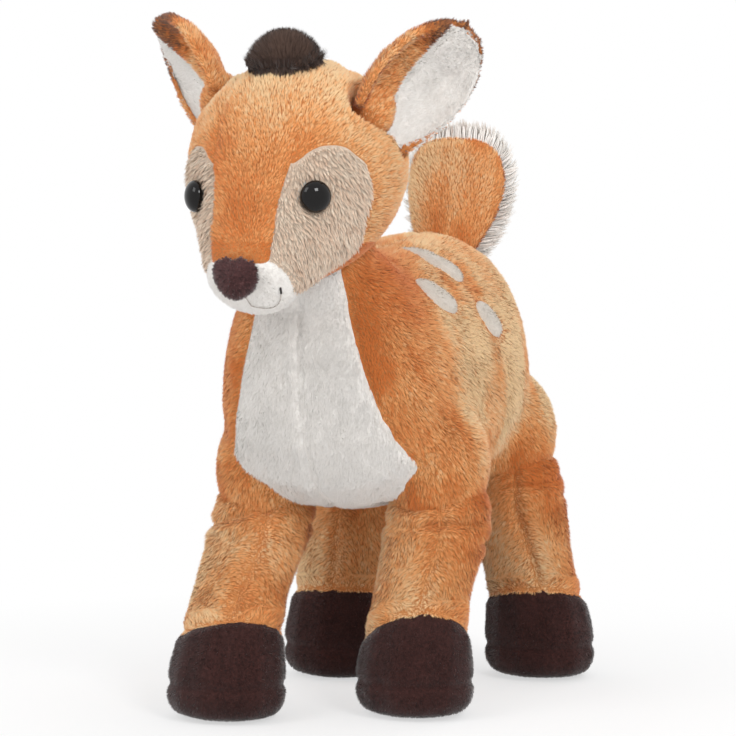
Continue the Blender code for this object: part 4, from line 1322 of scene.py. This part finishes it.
class FAWN_OT_ears(bpy.types.Operator):
    """Sew and comb the ears"""

    bl_idname = "fawn.ears"
    bl_label = "Ears"

    def execute(self, context):
        for number, side in enumerate(SIDES):
            self.ear(number, side, context.scene.fawn_pile)
        return {"FINISHED"}

    @staticmethod
    def ear(number, side, pile):
        """One ear: an orange back that comes round the inner edge in a fold, and a white lining."""
        back, lining = panels = ["ear_back_" + side, "ear_lining_" + side]
        lined, _ = node_mesh(lining)
        root = joint_place(f"ear_{side}_fold")
        out = unit((lined.mean(0) - root)[None])[0]
        tip = ((lined - root) @ out).max()
        front = lined.mean(0) - node_mesh(back)[0].mean(0)
        front = unit((front - out * (front @ out))[None])[0]
        inward = np.cross(out, front)
        inward *= np.sign(inward @ (-np.sign(root[0]), 0.0, 1.0))
        half = np.abs((lined - root) @ inward).max()
        low, high = EAR_FOLDS[side]

        def past_fold(points):
            """How far inward of the ear's fold each point lies, as a share of half the ear."""
            along = np.clip(((points - root) @ out) / tip, 0, 1)
            return ((points - root) @ inward) / half - low - (high - low) * along**1.3

        def folded(points, apart):
            """The back comes round the inner edge to the fold, and the lining round the outer edge."""
            past = past_fold(points)
            apart[:, 1] += 20 * MM * smooth_step(past, -0.05, 0.05) - 1.2 * MM * smooth_step(-past, 0.35, 0.8)

        def cupped(points, normals):
            """The lining lies in a hollow beside a rolled fold."""
            past = past_fold(points)
            before, behind = smooth_step(normals @ front, 0.1, 0.6), smooth_step(-normals @ front, 0.1, 0.6)
            hollow = 2.2 * MM * bell(past + 0.75, 0.42)
            return (before - behind) * hollow - 1.6 * MM * before * bell(past - 0.12, 0.2)

        def outward(points, normals):
            """Combed from the root to the tip."""
            return out + 0 * points

        def ear_tone(points, normals):
            """The printed plush, dark at the ear's tip."""
            along = ((points - root) @ out) / tip + 0.06 * drift(points, 6 * MM, 7)
            tone = 0.34 + 0.62 * (orange_tone(points, normals) - 0.45)
            return tone * (1 - smooth_step(along, 0.56, 0.76)) + 0.03

        base = round_form(root + np.array((-np.sign(root[0]) * 8, 1.5, 3.5)) * MM, (9 * MM, 11 * MM, 11 * MM))
        skin = Skin(
            "ear_skin_" + side,
            panels,
            [],
            1.5 * MM,
            [0.8 * MM, 0.6 * MM],
            cap=0.5 * MM,
            turns=4,
            forms=[base],
            gussets={back: [base]},
            shape=cupped,
            favour=folded,
        )
        clear = skin.clear_of("head_fill", "head_side_" + side, "forehead_gusset")
        body, how = "ear_" + side, dict(comb=outward, clear=clear)
        length, seed = 0.75 * pile.plush_length, 70 + number
        covered(skin, 0, back, body, "ear_back", [back], length, tone=ear_tone, seed=seed, lean=50, **how)
        length, seed = 0.75 * pile.bib_length, 75 + number
        covered(skin, 1, lining, body, "white", [lining], length, tone=white_tone, seed=seed, lean=58, **how)


class FAWN_OT_tuft(bpy.types.Operator):
    """Comb the tuft on the crown"""

    bl_idname = "fawn.tuft"
    bl_label = "Tuft"

    def execute(self, context):
        skin = Skin("tuft_skin", ["tuft"], [], 1.6 * MM, [3.7 * MM], cap=0, turns=6)
        middle = skin.points.mean(0)
        skin.points[:] = middle + (skin.points - middle) * np.array((1.05, 1.0, 1.0)) - UP * 2.6 * MM
        low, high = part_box("tuft")
        foot = np.array(((low.x + high.x) / 2, (low.y + high.y) / 2 + 2 * MM, low.z - 10 * MM))

        def from_foot(points, normals):
            """Combed away from a point under the tuft."""
            return points - foot

        length = context.scene.fawn_pile.tuft_length
        how = dict(width=0.36 * MM, per_mm2=14, lean=30, ruffle=16, clump=0.4, soft=0.6)
        covered(skin, 0, "tuft", "head", "tuft", ["tuft"], length, from_foot, even_tone, 81, 0.5, **how)
        return {"FINISHED"}


class FAWN_OT_tail(bpy.types.Operator):
    """Sew, stuff and comb the tail"""

    bl_idname = "fawn.tail"
    bl_label = "Tail"

    def execute(self, context):
        pile = context.scene.fawn_pile
        front, back = panels = ["tail_front", "tail_back"]
        skin = Skin("tail_skin", panels, ["tail_fill"], 2.0 * MM, [1.7 * MM, 2.2 * MM])
        clear = skin.clear_of("flank_left", "flank_right", "torso_fill")
        low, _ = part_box(front)
        foot = np.array((0.0, 0.087, low.z))

        def to_tip(points, normals):
            """Combed up and outwards from the tail's root."""
            return (points - foot) * np.array((0.8, 0.6, 1.0)) + np.array((0.0, 0.0, 0.004))

        def tail_tone(points, normals):
            """The printed plush, paler towards the fawn's right."""
            return orange_tone(points, normals) - 0.12 + 0.2 * smooth_step(-points[:, 0], -0.005, 0.018)

        length, stands_for = 0.85 * pile.plush_length, [front, "tail_fill"]
        covered(skin, 0, front, "tail", "orange", stands_for, length, to_tip, tail_tone, 85, clear=clear)
        how = dict(width=0.5 * MM, per_mm2=4, lean=44, clump=0.7, soft=0.15, bent=True)
        length = pile.fringe_length
        covered(skin, 1, back, "tail", "white", [back], length, to_tip, white_tone, 86, clear=clear, **how)
        return {"FINISHED"}


class FAWN_OT_legs(bpy.types.Operator):
    """Sew, stuff and comb the legs with their hooves"""

    bl_idname = "fawn.legs"
    bl_label = "Legs"

    def execute(self, context):
        for number, leg in enumerate(LEGS):
            self.leg(number, leg, context.scene.fawn_pile)
        return {"FINISHED"}

    @staticmethod
    def leg(number, leg, pile):
        """One leg of two panels, and its hoof of an upper and a sole."""
        panels = [f"leg_{leg}_outer", f"leg_{leg}_inner", "hoof_" + leg, "sole_" + leg]
        fill = "leg_fill_" + leg
        hip = joint_place(f"leg_{leg}_swing")

        def folded(points, normals):
            """The folds and the filling's lumps."""
            return gathered(points, hip, FOLDS[leg]) + 0.3 * MM * drift(points, 16 * MM, 34)

        def high_hoof(points, apart):
            """The hoof's short pile begins a little over its seam."""
            apart[:, 2] -= HOOF_RISES[leg] * smooth_step(points[:, 2], 0.020, 0.030)

        def under_hem(points, normals):
            """Pile grows where the haunch doesn't cover the leg."""
            return points[:, 2] < HEMS[leg] - 4 * MM

        def off_floor(points, normals):
            """No pile grows where the hoof stands on it."""
            return points[:, 2] > 1.2 * MM

        depths = [1.7 * MM, 1.7 * MM, 0.5 * MM, 0.5 * MM]
        forms = dict(shape=folded, seam=0.8, favour=high_hoof)
        skin = Skin("leg_skin_" + leg, panels, [fill], 2.4 * MM, depths, **forms)
        if leg.startswith("front"):
            skin.points[:, 0] += FRONT_LEG_SHIFT * smooth_step(skin.points[:, 2], 0.045, 0.085)
        plush = dict(
            length=pile.plush_length,
            tone=leg_tone_and_shade,
            ruffle=26,
            parting=2.6,
            reach=6.5 * MM,
            clear=skin.clear_of("torso_fill"),
            where=under_hem,
        )
        velour = dict(
            length=pile.velour_length,
            tone=even_tone,
            per_mm2=6,
            lean=50,
            clump=0.35,
            parting=0.5,
            speckle=2.0,
            where=off_floor,
        )
        for which, panel in enumerate(panels):
            kind, how = ("orange", plush) if which < 2 else ("hoof", velour)
            stands_for = [panel, fill] if which == 0 else [panel]
            seed = 100 + 10 * number + which
            covered(skin, which, panel, "leg_" + leg, kind, stands_for, comb=down, seed=seed, **how)


class FAWN_OT_stage(bpy.types.Operator):
    """Set the floor, the light and the camera"""

    bl_idname = "fawn.stage"
    bl_label = "Stage"

    def execute(self, context):
        self.floor()
        self.lamps()
        self.camera(context.scene.fawn_stage)
        context.scene.view_settings.view_transform = "Standard"
        return {"FINISHED"}

    @staticmethod
    def floor():
        """A pale floor that keeps the shadow, under an even white room."""
        corners = np.array([(-8, -8, 0), (8, -8, 0), (8, 8, 0), (-8, 8, 0)], float)
        made = shown("floor", mesh_from("floor", corners, [(0, 1, 2, 3)]))
        finish = Finish("pale_floor")
        finish.set(Base_Color=(0.9, 0.9, 0.9, 1), Roughness=0.9, Specular_IOR_Level=0.0)
        glow = finish.node("ShaderNodeEmission", None, {"Color": (1, 1, 1, 1), "Strength": 1.0})
        length = finish.node("ShaderNodeVectorMath", {"operation": "LENGTH"}, {0: finish.place()})
        far = ((finish.wire(length, "Value") - 0.12) / 0.20).held()
        share = (0.6 + 0.4 * far) * finish.looked_at()
        inputs = {0: share, 1: finish.wire(finish.shader), 2: finish.wire(glow)}
        blend = finish.node("ShaderNodeMixShader", None, inputs)
        finish.feed(finish.nodes["Material Output"].inputs["Surface"], finish.wire(blend))
        made.data.materials.append(finish.material)
        world = bpy.data.worlds.new("studio")
        bpy.context.scene.world = world
        world.use_nodes = True
        room = Tree(world.node_tree)
        background = room.nodes["Background"].inputs
        room.feed(background["Color"], (1, 1, 1, 1))
        room.feed(background["Strength"], ROOM_LIGHT + (1 - ROOM_LIGHT) * room.looked_at())

    @staticmethod
    def lamps():
        """Three soft boxes, each with its place, size and power, aimed at the fawn's middle."""
        middle = Vector((0, 0, 0.12))
        for name, place, size, power in (
            ("key", (-0.55, -1.1, 1.15), 0.7, 5.7),
            ("window", (1.0, -0.75, 1.0), 0.4, 7.4),
            ("back", (0.3, 1.1, 1.2), 0.8, 3.5),
        ):
            data = bpy.data.lights.new(name, "AREA")
            data.size, data.energy = size, power
            lamp = shown(name, data)
            lamp.location = place
            lamp.rotation_mode = "QUATERNION"
            lamp.rotation_quaternion = (middle - Vector(place)).to_track_quat("-Z", "Y")

    @staticmethod
    def camera(stage):
        """The photograph's place, seen from a little above."""
        data = bpy.data.cameras.new("camera")
        data.sensor_width, data.lens = SENSOR, stage.lens
        data.clip_start, data.clip_end = 0.05, 40.0
        made = shown("camera", data)
        across, along = math.cos(stage.azimuth), math.sin(stage.azimuth)
        toward, right = Vector((along, -across, 0)), Vector((across, along, 0))
        made.location = toward * stage.distance - right * SIGHT_LEFT + Vector((0, SIGHT_BEHIND, stage.height))
        focal = stage.lens / SENSOR * PICTURE
        pitch = math.atan((PICTURE / 2 - stage.horizon) / focal)
        aim = -toward * math.cos(pitch) - Vector((0, 0, math.sin(pitch)))
        made.rotation_mode = "QUATERNION"
        made.rotation_quaternion = aim.to_track_quat("-Z", "Y")
        bpy.context.scene.camera = made


class FAWN_PT_panel(bpy.types.Panel):
    """Shows the fawn's steps and their settings"""

    bl_idname = "FAWN_PT_panel"
    bl_label = "Plush Fawn"
    bl_space_type = "VIEW_3D"
    bl_region_type = "UI"
    bl_category = "Fawn"

    def draw(self, context):
        for operator in STEPS:
            self.layout.operator(operator.bl_idname)
        for group in ("fawn_colours", "fawn_pile", "fawn_stage"):
            settings = getattr(context.scene, group)
            for name in settings.bl_rna.properties.keys():
                if name not in ("rna_type", "name"):
                    self.layout.prop(settings, name)


STEPS = (
    FAWN_OT_body,
    FAWN_OT_neck,
    FAWN_OT_head,
    FAWN_OT_face,
    FAWN_OT_ears,
    FAWN_OT_tuft,
    FAWN_OT_tail,
    FAWN_OT_legs,
    FAWN_OT_stage,
)
GROUPS = {"fawn_colours": FawnColours, "fawn_pile": FawnPile, "fawn_stage": FawnStage}


def register():
    for kind in (*GROUPS.values(), *STEPS, FAWN_PT_panel):
        bpy.utils.register_class(kind)
    for name, kind in GROUPS.items():
        setattr(bpy.types.Scene, name, bpy.props.PointerProperty(type=kind))


def unregister():
    for name in GROUPS:
        delattr(bpy.types.Scene, name)
    for kind in (FAWN_PT_panel, *reversed(STEPS), *GROUPS.values()):
        bpy.utils.unregister_class(kind)


def main():
    """Dresses the whole fawn."""
    register()
    for step in STEPS:
        group, name = step.bl_idname.split(".")
        getattr(getattr(bpy.ops, group), name)()


if __name__ == "__main__":
    main()
